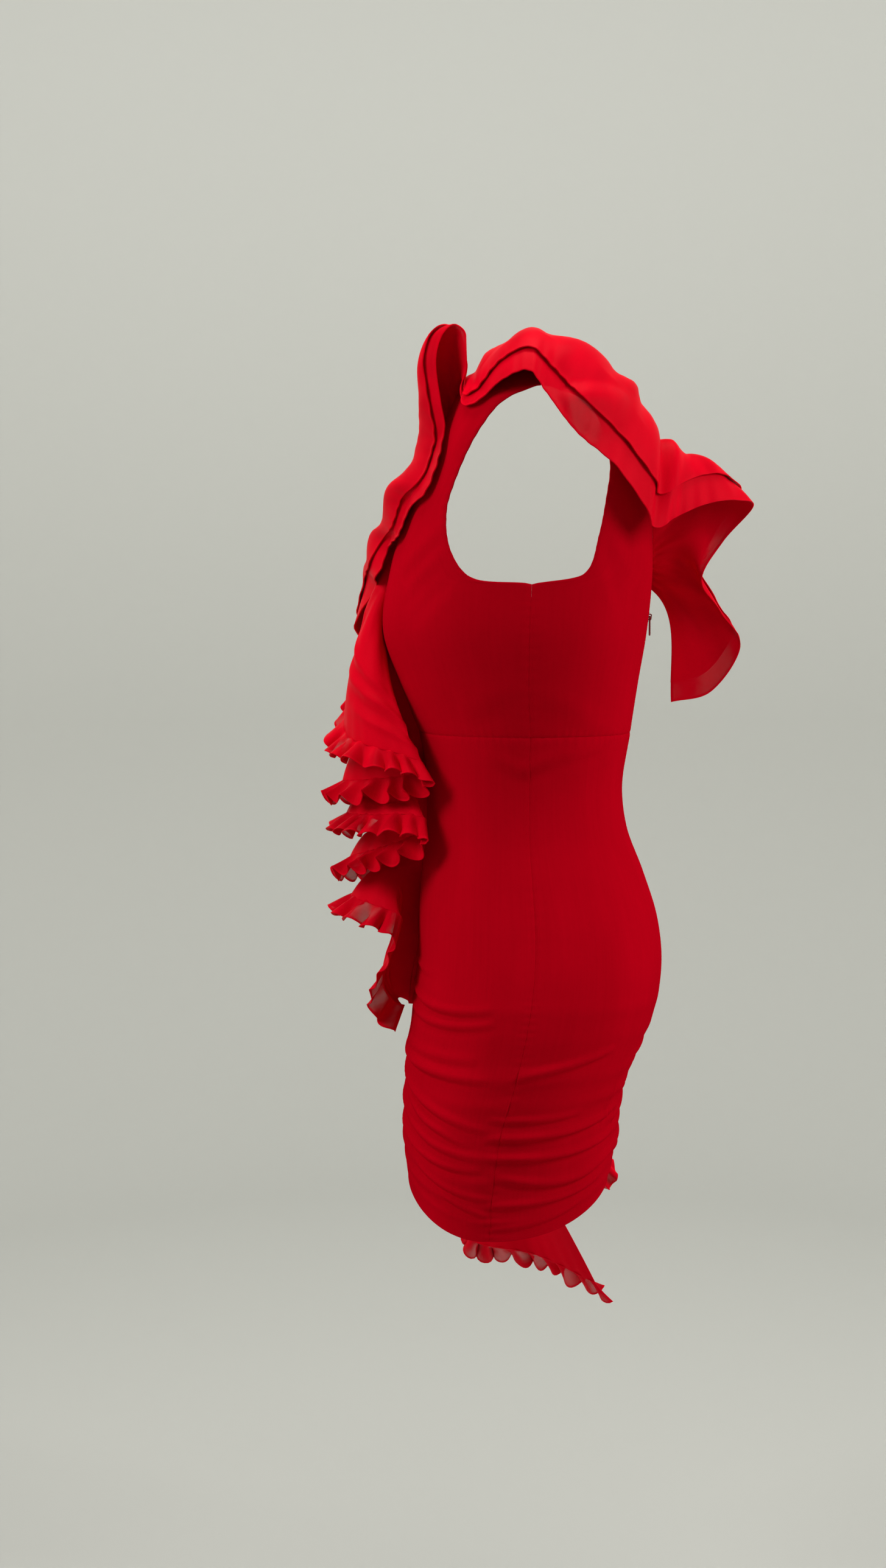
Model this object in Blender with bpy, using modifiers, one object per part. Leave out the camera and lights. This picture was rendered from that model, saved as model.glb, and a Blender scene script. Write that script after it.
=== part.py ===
"""One-shoulder dress in its hollow worn shape, on a general figure.

A close knit dress with a diagonal neckline over the wearer's left shoulder, a flounce of two
layers along that neckline, a centre-front cascade edged with a narrow gathered frill, a second
frilled cascade at the right hip, folds drawn across the skirt, and a zip in the centre back.

Sizes are in millimetres and turn into metres in place(). While the dress is worked out, X runs
to the wearer's left, Y to the wearer's back and Z up, from the point level with the shoulder on
the centre plane. The finished part's origin is under the strap on the left shoulder.
"""
import math
from collections import namedtuple

import bmesh
import bpy
import numpy as np

MM = 0.001
HOLD = np.array((100.0, 8.0, -3.0))     # underside of the strap on the shoulder: the part's origin

WALL = 1.2                              # knit cloth of the dress
SATIN_WALL = 1.0                        # cloth of the flounce, the cascades and their frills
SEAM_GAP = 0.3                          # gap between pieces that are sewn together
WAIST_HEIGHT = -338.0

# The figure's rings: half width, reach to the front and to the back from the centre plane,
# how far back the widest point lies, and how square the ring is.
Ring = namedtuple("Ring", "height half front back side_y square")
FIGURE = [
    Ring(-800, 162, 108, 76, -38, 2.2),
    Ring(-770, 163, 110, 79, -36, 2.2),
    Ring(-720, 166, 114, 89, -32, 2.2),
    Ring(-675, 168, 112, 93, -24, 2.2),
    Ring(-640, 170, 110, 106, -14, 2.2),
    Ring(-600, 170, 105, 123, -5, 2.2),
    Ring(-555, 164, 101, 130, 2, 2.2),
    Ring(-515, 152, 100, 126, 4, 2.2),
    Ring(-470, 135, 97, 112, 2, 2.15),
    Ring(-430, 121, 92, 97, 0, 2.1),
    Ring(-395, 116, 92, 92, 0, 2.1),
    Ring(-340, 122, 99, 99, 0, 2.1),
    Ring(-290, 134, 118, 106, -2, 2.2),
    Ring(-245, 144, 133, 113, -2, 2.3),
    Ring(-190, 146, 128, 118, 0, 2.3),
    Ring(-140, 150, 114, 117, 0, 2.3),
    Ring(-100, 158, 98, 114, 2, 2.3),
    Ring(-60, 166, 82, 108, 4, 2.3),
    Ring(-38, 160, 72, 103, 6, 2.3),
    Ring(-20, 132, 64, 95, 8, 2.3),
    Ring(0, 92, 56, 84, 8, 2.3),
    Ring(14, 66, 50, 66, 8, 2.3),
]

# Rungs of the bodice panels, from the waist up to the shoulder seam. The first edge is the left
# side seam and then the armhole, the second is the neckline. Angles run round the figure:
# 0 is its left side, 90 its front, 180 its right side and -90 its back.
Rung = namedtuple("Rung", "arm_angle arm_height neck_angle neck_height")
FRONT_RUNGS = [
    Rung(0, -338, 180, -338),
    Rung(0, -265, 180, -268),
    Rung(0, -203, 180, -205),
    Rung(20, -198, 152, -193),
    Rung(32, -172, 126, -178),
    Rung(38, -140, 105, -160),
    Rung(38.5, -118, 90, -135),
    Rung(36, -92, 80, -95),
    Rung(30, -68, 73, -55),
    Rung(20, -47, 60, -20),
    Rung(0, -32, 0, 12),
]
BACK_RUNGS = [
    Rung(0, -338, -90, -338),
    Rung(0, -265, -90, -268),
    Rung(0, -203, -90, -212),
    Rung(-20, -193, -86, -185),
    Rung(-27, -158, -82, -155),
    Rung(-31, -125, -78, -120),
    Rung(-33, -98, -74, -85),
    Rung(-30, -72, -69, -52),
    Rung(-20, -47, -60, -20),
    Rung(0, -32, 0, 12),
]
RIGHT_BACK_RUNGS = [
    Rung(-90, -338, -90, -212),
    Rung(-112, -338, -110, -221),
    Rung(-145, -338, -140, -220),
    Rung(-180, -338, -180, -205),
]

UNDERARM = 2                            # the rung at which both side edges leave the side seams

# Folds drawn across the skirt: the height of each at the four sides, and how far it stands out.
Fold = namedtuple("Fold", "left front right back depth")
SKIRT_FOLDS = [
    Fold(-577, -574, -552, -585, 1.6),
    Fold(-603, -602, -580, -612, 2.0),
    Fold(-636, -640, -606, -640, 3.4),
    Fold(-662, -664, -630, -662, 2.8),
    Fold(-687, -686, -652, -681, 3.6),
    Fold(-709, -707, -674, -700, 3.0),
    Fold(-731, -726, -694, -718, 3.4),
    Fold(-749, -742, -713, -733, 2.6),
    Fold(-766, -755, -731, -748, 2.0),
]
WAIST = Fold(WAIST_HEIGHT, WAIST_HEIGHT, WAIST_HEIGHT, WAIST_HEIGHT, 0)
HIGH_HIP = Fold(-560, -556, -532, -566, 0)
HEM = Fold(-784, -768, -748, -762, 0.6)
PLAIN_STEPS = 7                         # levels of the plain cloth above the folds

# Folds of the flounce: the place on the neckline, the lower edge of the under layer, and how
# far the middle of the cloth is carried out from the figure and up.
Flute = namedtuple("Flute", "station x y z out up")
FLUTES = [
    Flute(0.0, -186, -4, -312, 20, 8),
    Flute(0.45, -166, -62, -300, 62, 10),
    Flute(0.9, -138, -124, -300, 30, 14),
    Flute(1.25, -88, -140, -262, 64, 10),
    Flute(1.7, -44, -164, -240, 32, 14),
    Flute(2.15, -6, -142, -202, 62, 12),
    Flute(2.6, 30, -140, -192, 32, 16),
    Flute(3.05, 34, -116, -166, 62, 14),
    Flute(3.6, 66, -114, -156, 30, 18),
    Flute(4.1, 72, -96, -132, 58, 18),
    Flute(4.6, 98, -88, -120, 28, 22),
    Flute(5.05, 100, -75, -96, 24, 22),
    Flute(5.45, 104, -74, -72, 24, 22),
    Flute(5.8, 104, -80, -38, 36, 20),
    Flute(6.05, 102, -84, -6, 44, 20),
    Flute(6.25, 98, -79, 18, 40, 24),
    Flute(6.4, 96, -67, 28, 30, 28),
    Flute(6.55, 97, -57, 18, 16, 28),
    Flute(6.7, 101, -57, -8, 0, 26),
    Flute(6.85, 107, -62, -29, -6, 18),
    Flute(7.05, 120, -59, -45, -6, 11),
    Flute(7.3, 140, -48, -46, -2, 18),
    Flute(7.65, 164, -28, -30, 4, 42),
    Flute(8.0, 175, -5, -23, 4, 54),
    Flute(8.35, 178, 10, -42, 6, 50),
    Flute(8.8, 170, 36, -74, 10, 44),
    Flute(9.4, 156, 72, -102, 16, 36),
    Flute(10.1, 138, 97, -134, 18, 40),
    Flute(10.7, 120, 112, -152, 18, 62),
    Flute(11.3, 102, 130, -142, 22, 82),
    Flute(11.9, 82, 160, -129, 18, 92),
    Flute(12.5, 60, 190, -124, 12, 84),
    Flute(12.9, 38, 210, -128, 8, 62),
    Flute(13.3, 26, 184, -160, 8, 34),
    Flute(13.6, 30, 164, -196, 12, 18),
    Flute(13.95, 20, 184, -226, 18, 16),
    Flute(14.2, 17, 203, -258, 22, 14),
    Flute(14.4, 16, 176, -300, 18, 8),
    Flute(14.55, 17, 138, -310, 6, 4),
]
UPPER_SHARE = 0.84                      # how much of the under layer the upper layer covers
UPPER_LIFT = 1.8                        # added space between the layers at the upper one's edge
LIFT_EVENING = 12                       # how evenly the upper layer is lifted across the folds
NECK_EDGE = 3.0                         # the flounce is sewn this far below the neckline
ROOT_EVENING = 0.3                      # how evenly the cloth leaves the neckline
FLOUNCE_CLEARANCE = 7.0                 # the flounce's lower part stays this far off the dress

# Folds of a cascade: where its seam is, and its outer edge, from the top down.
Lobe = namedtuple("Lobe", "seam_height x y z")
FRONT_LOBES = [
    Lobe(-160, -46, -146, -236),
    Lobe(-178, -36, -160, -290),
    Lobe(-200, 0, -172, -336),
    Lobe(-220, 42, -152, -348),
    Lobe(-238, 68, -114, -357),
    Lobe(-252, 76, -95, -366),
    Lobe(-264, 62, -112, -376),
    Lobe(-278, 34, -148, -382),
    Lobe(-292, 0, -174, -386),
    Lobe(-303, -36, -146, -391),
    Lobe(-312, -48, -124, -397),
    Lobe(-322, -46, -122, -408),
    Lobe(-333, -30, -146, -413),
    Lobe(-344, 0, -170, -416),
    Lobe(-353, 38, -148, -415),
    Lobe(-362, 66, -112, -412),
    Lobe(-371, 76, -93, -417),
    Lobe(-381, 66, -106, -432),
    Lobe(-392, 36, -142, -448),
    Lobe(-403, 0, -167, -459),
    Lobe(-414, -32, -144, -466),
    Lobe(-423, -45, -122, -473),
    Lobe(-433, -43, -120, -486),
    Lobe(-443, -28, -142, -492),
    Lobe(-454, 0, -166, -496),
    Lobe(-466, 32, -144, -501),
    Lobe(-480, 46, -118, -510),
    Lobe(-506, 44, -120, -530),
    Lobe(-540, 38, -131, -558),
    Lobe(-574, 32, -134, -580),
    Lobe(-594, 22, -124, -597),
    Lobe(-601, 14, -114, -602),
]
HIP_LOBES = [
    Lobe(-556, -198, 24, -628),
    Lobe(-580, -226, -12, -684),
    Lobe(-600, -214, -52, -712),
    Lobe(-612, -210, -56, -742),
    Lobe(-634, -230, 10, -770),
    Lobe(-656, -198, 84, -796),
    Lobe(-666, -192, 88, -826),
    Lobe(-684, -230, 24, -858),
    Lobe(-702, -210, -40, -882),
    Lobe(-710, -206, -42, -908),
    Lobe(-724, -224, 24, -928),
    Lobe(-738, -190, 88, -948),
]
FRONT_SEAM_ANGLE = 88.0
HIP_SEAM_ANGLE = 180.0
CASCADE_CLEARANCE = 6.0                 # a cascade's outer part stays this far off the dress
FINE_STEPS = 40                         # steps from one fold to the next while lengths are measured
FRILL_WIDTH = 24.0
FRILL_START = 0.9
FRILL_PITCH = 18.5
FRILL_SWING = 5.0
FRILL_DROP = 1.0                        # how far the frill falls for each unit that it stands out

# Zip in the centre back
ZIP_BOTTOM = -520.0
ZIP_HALF_WIDTH = 0.7
ZIP_SLIDER_HEIGHT = -229.0
SLIDER_HALF_WIDTH = 2.6
SLIDER_DEPTH = 1.6
SLIDER_HALF_LENGTH = 5.0
CROWN_HALF_WIDTH = 0.8
PULL_THICKNESS = 1.2
PULL_LENGTH = 19.0
PULL_HALF_WIDTH = 3.1
PULL_CLEARANCE = 0.4
CROWN_BAR = 0.9                         # the crown's bar over the pull tab's crossbar
CROWN_ROOT = 0.5                        # how deep the crown's feet stand in the plate
CROWN_TOP = 2.6
CROWN_BOTTOM = -3.6
CROWN_SLANT = 0.7
WINDOW_TOP = 1.5
WINDOW_BOTTOM = -2.4
WINDOW_SLANT = 0.2
PULL_SLOT_END = -5.0
PULL_ARM = 1.1


def smooth(stations, values, at):
    """Value at a station on a smooth curve through the values, straight where they stay equal."""
    slopes = np.gradient(np.asarray(values, float), np.asarray(stations, float))
    flat = np.diff(values) == 0
    slopes[np.append(flat, False) | np.insert(flat, 0, False)] = 0
    i = int(np.clip(np.searchsorted(stations, at) - 1, 0, len(stations) - 2))
    step = stations[i + 1] - stations[i]
    t = (min(max(at, stations[0]), stations[-1]) - stations[i]) / step
    ease = t * t * (3 - 2 * t)
    start_pull = t * (1 - t) ** 2 * step * slopes[i]
    end_pull = t * t * (t - 1) * step * slopes[i + 1]
    return values[i] * (1 - ease) + values[i + 1] * ease + start_pull + end_pull


def column(table, name):
    return [getattr(row, name) for row in table]


def read(table, key, at):
    """The table's row at a place, smoothly between its rows, as a row of the same kind."""
    stations = column(table, key) if key else list(range(len(table)))
    values = [smooth(stations, column(table, name), at) for name in table[0]._fields]
    return type(table[0])(*values)


def on_figure(angle, height):
    """A point on the figure's skin, which is the inner face of the cloth."""
    ring = read(FIGURE, "height", height)
    turn = math.radians(angle)
    across = math.cos(turn)
    along = math.sin(turn)
    power = 2 / ring.square
    reach = ring.front + ring.side_y if along >= 0 else ring.back - ring.side_y
    x = math.copysign(abs(across) ** power, across) * ring.half
    y = ring.side_y - math.copysign(abs(along) ** power, along) * reach
    return np.array((x, y, height))


def unit(vector):
    return vector / np.linalg.norm(vector)


def outward(angle, height):
    """The figure's outward direction at a point."""
    round_it = on_figure(angle + 1, height) - on_figure(angle - 1, height)
    up_it = on_figure(angle, height + 2) - on_figure(angle, height - 2)
    return unit(np.cross(up_it, round_it))


def off_figure(angle, height, out):
    return on_figure(angle, height) + outward(angle, height) * out


def drawn_in(rows, gap=SEAM_GAP / 2):
    """Move the border of a grid of points inwards, so that neighbours stay a seam gap apart."""
    grid = np.array(rows, float)
    for edge, inner in ((0, 1), (-1, -2)):
        for line in range(grid.shape[0]):
            step = grid[line, inner] - grid[line, edge]
            grid[line, edge] += unit(step) * gap
        for line in range(grid.shape[1]):
            step = grid[inner, line] - grid[edge, line]
            grid[edge, line] += unit(step) * gap
    return grid


def place(point):
    return tuple((np.asarray(point) - HOLD) * MM)


def material(name, colour, roughness, metallic=0.0):
    finish = bpy.data.materials.new(name)
    finish.use_nodes = True
    shader = finish.node_tree.nodes["Principled BSDF"]
    shader.inputs["Base Color"].default_value = (*colour, 1.0)
    shader.inputs["Roughness"].default_value = roughness
    shader.inputs["Metallic"].default_value = metallic
    return finish


def add_object(name, mesh, finish):
    piece = bpy.data.objects.new(name, mesh)
    mesh.materials.append(finish)
    collection.objects.link(piece)
    return piece


def cloth(name, rows, wall, finish, side=1.0):
    """A wall of cloth through rows of points. Side 1 thickens it outwards, 0 to both sides."""
    grid = np.array(rows, float)
    sheet = bmesh.new()
    bmesh.ops.create_grid(sheet, x_segments=grid.shape[1] - 1, y_segments=grid.shape[0] - 1, size=1)
    for vertex, point in zip(sheet.verts, grid.reshape(-1, 3)):
        vertex.co = place(point)
    bmesh.ops.triangulate(sheet, faces=sheet.faces, quad_method="SHORT_EDGE")
    mesh = bpy.data.meshes.new(name)
    sheet.to_mesh(mesh)
    sheet.free()
    mesh.shade_smooth()
    piece = add_object(name, mesh, finish)
    thickness = piece.modifiers.new("wall", "SOLIDIFY")
    thickness.thickness = wall * MM
    thickness.offset = side
    return piece


def rung_at(rungs, place_on_edge):
    """A rung of a bodice panel. The panel's outline turns a corner at the underarm's rung."""
    if place_on_edge <= UNDERARM:
        return read(rungs[:UNDERARM + 1], None, place_on_edge)
    return read(rungs[UNDERARM:], None, place_on_edge - UNDERARM)


def bodice_panel(name, rungs, columns, rows_below, rows_above, finish, side, gap_at_zip=None):
    """A bodice panel between its two long edges, rung by rung from the waist up."""
    last = len(rungs) - 1
    places = list(np.linspace(0, UNDERARM, rows_below + 1))
    places += list(np.linspace(UNDERARM, last, rows_above + 1))[1:]
    points = []
    for place_on_edge in places:
        rung = rung_at(rungs, place_on_edge)
        line = []
        for step in range(columns + 1):
            share = step / columns
            angle = rung.arm_angle + (rung.neck_angle - rung.arm_angle) * share
            height = rung.arm_height + (rung.neck_height - rung.arm_height) * share
            line.append(on_figure(angle, height))
        points.append(line)
    grid = drawn_in(points)
    if gap_at_zip:
        gap_at_zip(grid)
    return cloth(name, grid, WALL, finish, side)


def clear_zip(grid):
    """Keep a back panel's edge clear of the zip that runs down the centre back."""
    keep = ZIP_HALF_WIDTH + SEAM_GAP
    side = 1.0 if grid[..., 0].mean() > 0 else -1.0
    near = np.abs(grid[..., 0]) < keep
    grid[..., 0][near] = side * keep


def side_value(fold, angle):
    """A fold's height at an angle, eased between its heights at the four sides."""
    quarter = (angle % 360) / 90
    heights = (fold.left, fold.front, fold.right, fold.back, fold.left)
    first = min(int(quarter), 3)
    share = (1 - math.cos((quarter - first) * math.pi)) / 2
    return heights[first] * (1 - share) + heights[first + 1] * share


def gather(angle):
    """The folds are deepest at the right side seam, where the skirt is gathered."""
    return 1.0 + 0.5 * (1 - math.cos(math.radians(angle))) / 2


def skirt_levels():
    """Levels of the skirt from the waist down: a crest on each fold and a hollow between."""
    levels = []
    for step in range(PLAIN_STEPS + 1):
        share = step / PLAIN_STEPS
        mix = [a * (1 - share) + b * share for a, b in zip(WAIST, HIGH_HIP)]
        levels.append((Fold(*mix), 0.0))
    for fold, below in zip(SKIRT_FOLDS, SKIRT_FOLDS[1:] + [HEM]):
        hollow = Fold(*[(a + b) / 2 for a, b in zip(fold, below)])
        levels.append((fold, fold.depth))
        levels.append((hollow, 0.0))
    levels.append((HEM, HEM.depth))
    return levels


def skirt_panel(name, first_angle, last_angle, columns, finish, gap_at_zip=None):
    points = []
    for level, depth in skirt_levels():
        line = []
        for step in range(columns + 1):
            angle = first_angle + (last_angle - first_angle) * step / columns
            height = side_value(level, angle)
            line.append(off_figure(angle, height, depth * gather(angle)))
        points.append(line)
    grid = drawn_in(points)
    if gap_at_zip:
        gap_at_zip(grid)
    return cloth(name, grid, WALL, finish, 1.0)


def fold_room(angle, height):
    """Room for the skirt's folds, so that what hangs on the skirt stays clear of them."""
    below = min(max((HIGH_HIP.right - 10 - height) / 30, 0), 1)
    return max(fold.depth for fold in SKIRT_FOLDS) * gather(angle) * below


def kept_off(point, clearance, softness=0.5):
    """A point carried away from the figure's axis, so that it stays clear of the dress."""
    ring = read(FIGURE, "height", point[2])
    away = point - np.array((0, ring.side_y, point[2]))
    reach = ring.front + ring.side_y if away[1] < 0 else ring.back - ring.side_y
    across = abs(away[0] / ring.half) ** (ring.square / 2)
    along = abs(away[1] / reach) ** (ring.square / 2)
    distance = np.linalg.norm(away)
    skin = distance / (across ** 2 + along ** 2) ** (1 / ring.square)
    angle = math.degrees(math.atan2(-math.copysign(along, away[1]), math.copysign(across, away[0])))
    skin += WALL + fold_room(angle, point[2])
    spare = (distance - skin - clearance) / softness
    kept = clearance + softness * (spare if spare > 30 else math.log1p(math.exp(spare)))
    return point + away * ((skin + kept) / distance - 1)


def neckline():
    """The neckline from the right underarm over the left shoulder to the centre back."""
    front = [(rung.neck_angle, rung.neck_height) for rung in FRONT_RUNGS[UNDERARM:]]
    back = [(rung.neck_angle, rung.neck_height) for rung in BACK_RUNGS[UNDERARM:-1]]
    return front + back[::-1]


def evened(lines, passes):
    """A row of vectors, each drawn towards its neighbours a number of times."""
    for _ in range(passes):
        padded = np.concatenate((lines[:1], lines, lines[-1:]))
        lines = (padded[:-2] + 2 * padded[1:-1] + padded[2:]) / 4
    return lines


def flounce_lines(columns):
    """For each column of the flounce its seam, the two handles of its curve and its edge."""
    angles, heights = zip(*neckline())
    stations = list(range(len(angles)))
    last = len(FLUTES) - 1
    seam = []
    middle = []
    edge = []
    for step in range(columns + 1):
        flute = read(FLUTES, None, step / columns * last)
        angle = smooth(stations, angles, flute.station)
        height = smooth(stations, heights, flute.station) - NECK_EDGE
        seam.append(off_figure(angle, height, WALL + SEAM_GAP + SATIN_WALL / 2))
        edge.append(np.array((flute.x, flute.y, flute.z)))
        lift = outward(angle, height) * flute.out + np.array((0, 0, flute.up))
        middle.append((seam[-1] + edge[-1]) / 2 + lift)
    seam, middle, edge = np.array(seam), np.array(middle), np.array(edge)
    root = seam + evened(middle - seam, round(columns * ROOT_EVENING)) * 2 / 3
    return seam, root, (edge + 2 * middle) / 3, edge


def flounce_grid(columns, rows, upper):
    """One layer of the flounce. The upper one is moved off the under one, and stops short."""
    seam, root, tip, edge = flounce_lines(columns)
    shares = [UPPER_SHARE * row / (rows - 1) for row in range(rows)] + [1.0]
    grid = []
    for t in shares:
        line = seam * (1 - t) ** 3 + root * 3 * t * (1 - t) ** 2 + tip * 3 * t * t * (1 - t) + edge * t ** 3
        grid.append([kept_off(point, SATIN_WALL + FLOUNCE_CLEARANCE * t) for point in line])
    grid = np.array(grid)
    if not upper:
        return grid
    normal = np.cross(np.gradient(grid, axis=0), np.gradient(grid, axis=1))
    normal /= np.linalg.norm(normal, axis=2, keepdims=True)
    normal = np.array([evened(line, LIFT_EVENING) for line in normal])
    normal /= np.linalg.norm(normal, axis=2, keepdims=True)
    lift = SATIN_WALL + SEAM_GAP + UPPER_LIFT * np.array(shares)
    return (grid + normal * lift[:, None, None])[:-1]


def cascade_lines(lobes, seam_angle):
    """The seam and the outer edge of a cascade, two even steps for each wave of its frill."""
    steps = FINE_STEPS * len(lobes)
    last = len(lobes) - 1
    seam = []
    edge = []
    for step in range(steps + 1):
        lobe = read(lobes, None, step / steps * last)
        out = WALL + fold_room(seam_angle, lobe.seam_height) + SEAM_GAP + SATIN_WALL / 2
        seam.append(off_figure(seam_angle, lobe.seam_height, out))
        edge.append(kept_off(np.array((lobe.x, lobe.y, lobe.z)), CASCADE_CLEARANCE))
    seam = np.array(seam)
    edge = np.array(edge)
    lengths = np.concatenate(([0], np.cumsum(np.linalg.norm(np.diff(edge, axis=0), axis=1))))
    waves = round(lengths[-1] / FRILL_PITCH)
    marks = np.linspace(0, lengths[-1], 2 * waves + 1)
    seam = np.stack([np.interp(marks, lengths, seam[:, k]) for k in range(3)], axis=1)
    edge = np.stack([np.interp(marks, lengths, edge[:, k]) for k in range(3)], axis=1)
    return seam, edge


def cascade(name, lobes, seam_angle, shares, sag, finish):
    seam, edge = cascade_lines(lobes, seam_angle)
    lines = []
    for share in shares:
        line = seam * (1 - share) + edge * share
        line[:, 2] += sag * 4 * share * (1 - share)
        if 0 < share < 1:
            clearance = SEAM_GAP + SATIN_WALL / 2 + CASCADE_CLEARANCE * math.sqrt(share)
            line = [kept_off(point, clearance) for point in line]
        lines.append(line)
    return cloth(name, lines, SATIN_WALL, finish, 0.0)


def halved(points):
    """The same line with a point added halfway along each of its steps."""
    line = np.empty((2 * len(points) - 1, 3))
    line[::2] = points
    line[1::2] = (points[1:] + points[:-1]) / 2
    return line


def frill(name, lobes, seam_angle, finish):
    """The narrow gathered frill on a cascade's outer edge, four points to a wave.

    It stands out from the seam and down at a slant, and its waves are flat where the edge turns.
    """
    seam, edge = cascade_lines(lobes, seam_angle)
    root = halved(edge)
    along = halved(np.gradient(edge, axis=0))
    along /= np.linalg.norm(along, axis=1, keepdims=True)
    out = halved(edge - seam) * (1, 1, 0)
    out /= np.linalg.norm(out, axis=1, keepdims=True)
    out += (0, 0, -FRILL_DROP)
    out /= np.linalg.norm(out, axis=1, keepdims=True)
    swing = np.cross(along, out)
    swing /= np.linalg.norm(swing, axis=1, keepdims=True)
    level = np.linalg.norm(along[:, :2], axis=1, keepdims=True)
    wave = np.sin(np.arange(len(root)) * math.pi / 2)[:, None] * FRILL_SWING * level
    start = root + out * FRILL_START
    end = root + out * FRILL_WIDTH + swing * wave
    return cloth(name, [start, end], SATIN_WALL, finish, 0.0)


def zip_face(height):
    """How far back the outer face of the cloth is on the centre back."""
    return on_figure(-90, height)[1] + WALL


def zip_coil(finish):
    """The closed coil of the zip, a narrow strip between the two back panels."""
    steps = 16
    rows = []
    for x in (-ZIP_HALF_WIDTH + 0.3, ZIP_HALF_WIDTH - 0.3):
        line = []
        for step in range(steps + 1):
            height = ZIP_SLIDER_HEIGHT + (ZIP_BOTTOM - ZIP_SLIDER_HEIGHT) * step / steps
            line.append((x, zip_face(height) - WALL, height))
        rows.append(line)
    return cloth("zip_coil", rows, WALL, finish, -1.0)


def outline_solid(name, outlines, half_thickness, finish):
    """A flat plate from outlines in its own plane, the first the rim and the others holes."""
    curve = bpy.data.curves.new(name, "CURVE")
    curve.dimensions = "2D"
    curve.fill_mode = "BOTH"
    curve.extrude = half_thickness * MM
    for outline in outlines:
        spline = curve.splines.new("POLY")
        spline.points.add(len(outline) - 1)
        spline.use_cyclic_u = True
        for corner, (across, up) in zip(spline.points, outline):
            corner.co = (across * MM, up * MM, 0, 1)
    drawn = bpy.data.objects.new(name + "_outline", curve)
    collection.objects.link(drawn)
    bpy.context.view_layer.update()
    solid = drawn.evaluated_get(bpy.context.evaluated_depsgraph_get())
    mesh = bpy.data.meshes.new_from_object(solid)
    bpy.data.objects.remove(drawn)
    body = bmesh.new()
    body.from_mesh(mesh)
    bmesh.ops.remove_doubles(body, verts=body.verts, dist=0.00001)
    body.to_mesh(mesh)
    body.free()
    mesh.materials.clear()
    mesh.name = name
    return add_object(name, mesh, finish)


def zip_slider(hinge, tilt, finish):
    """The slider's plate on the closed zip, with the crown that holds the pull tab."""
    front = -PULL_THICKNESS / 2 - PULL_CLEARANCE
    inner = PULL_THICKNESS / 2 + PULL_CLEARANCE
    outer = inner + CROWN_BAR
    root = front - CROWN_ROOT
    crown = [(root, CROWN_TOP), (inner, CROWN_TOP), (outer, CROWN_TOP - CROWN_SLANT),
             (outer, CROWN_BOTTOM + CROWN_SLANT), (inner, CROWN_BOTTOM), (root, CROWN_BOTTOM)]
    corner = inner - WINDOW_SLANT
    window = [(front, WINDOW_TOP), (corner, WINDOW_TOP), (inner, WINDOW_TOP - WINDOW_SLANT),
              (inner, WINDOW_BOTTOM + WINDOW_SLANT), (corner, WINDOW_BOTTOM), (front, WINDOW_BOTTOM)]
    arch = outline_solid("zip_slider", [crown, window], CROWN_HALF_WIDTH, finish)
    turn = (math.radians(90), 0, math.radians(90))
    arch.rotation_euler = turn
    plate_mesh = bpy.data.meshes.new("zip_slider_plate")
    plate = bmesh.new()
    bmesh.ops.create_cube(plate, size=1)
    size = (2 * SLIDER_HALF_WIDTH, SLIDER_DEPTH, 2 * SLIDER_HALF_LENGTH)
    bmesh.ops.scale(plate, vec=[value * MM for value in size], verts=plate.verts)
    shift = (0, (front - SLIDER_DEPTH / 2) * MM, -0.5 * MM)
    bmesh.ops.translate(plate, vec=shift, verts=plate.verts)
    plate.to_mesh(plate_mesh)
    plate.free()
    body = add_object("zip_slider_body", plate_mesh, finish)
    bpy.context.view_layer.update()
    arch.data.transform(arch.matrix_world)
    arch.rotation_euler = (0, 0, 0)
    collection.objects.unlink(body)
    cutters.objects.link(body)
    body.hide_render = True
    body.display_type = "WIRE"
    union = arch.modifiers.new("plate", "BOOLEAN")
    union.operation = "UNION"
    union.object = body
    arch.location = place(hinge)
    arch.rotation_euler = (tilt, 0, 0)
    body.location = place(hinge)
    body.rotation_euler = (tilt, 0, 0)
    return arch


def zip_pull(hinge, finish):
    """The teardrop pull tab, which swings on its own crossbar under the slider's crown."""
    half_bar = PULL_THICKNESS / 2
    slot_half = CROWN_HALF_WIDTH + PULL_CLEARANCE
    arm_half = slot_half + PULL_ARM
    turns = 7
    centre = -PULL_LENGTH + PULL_HALF_WIDTH + half_bar
    rim = [(-arm_half, half_bar), (arm_half, half_bar)]
    for step in range(turns + 1):
        angle = math.radians(20 - 220 * step / turns)
        rim.append((PULL_HALF_WIDTH * math.cos(angle), centre + PULL_HALF_WIDTH * math.sin(angle)))
    slot = [(-slot_half, -half_bar), (slot_half, -half_bar), (slot_half, PULL_SLOT_END),
            (-slot_half, PULL_SLOT_END)]
    tab = outline_solid("zip_pull", [rim, slot], half_bar, finish)
    tab.rotation_euler = (math.radians(90), 0, 0)
    tab.location = place(hinge)
    return tab


for leftover in list(bpy.data.objects):
    bpy.data.objects.remove(leftover)
collection = bpy.data.collections.new("one_shoulder_dress")
cutters = bpy.data.collections.new("cutters")
bpy.context.scene.collection.children.link(collection)
bpy.context.scene.collection.children.link(cutters)

knit = material("red_knit", (0.42, 0.004, 0.018), 0.62)
satin = material("red_satin", (0.62, 0.006, 0.03), 0.42)
coil_red = material("zip_coil_red", (0.28, 0.004, 0.012), 0.5)
zip_metal = material("zip_metal", (0.35, 0.02, 0.03), 0.35, 0.6)

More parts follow.
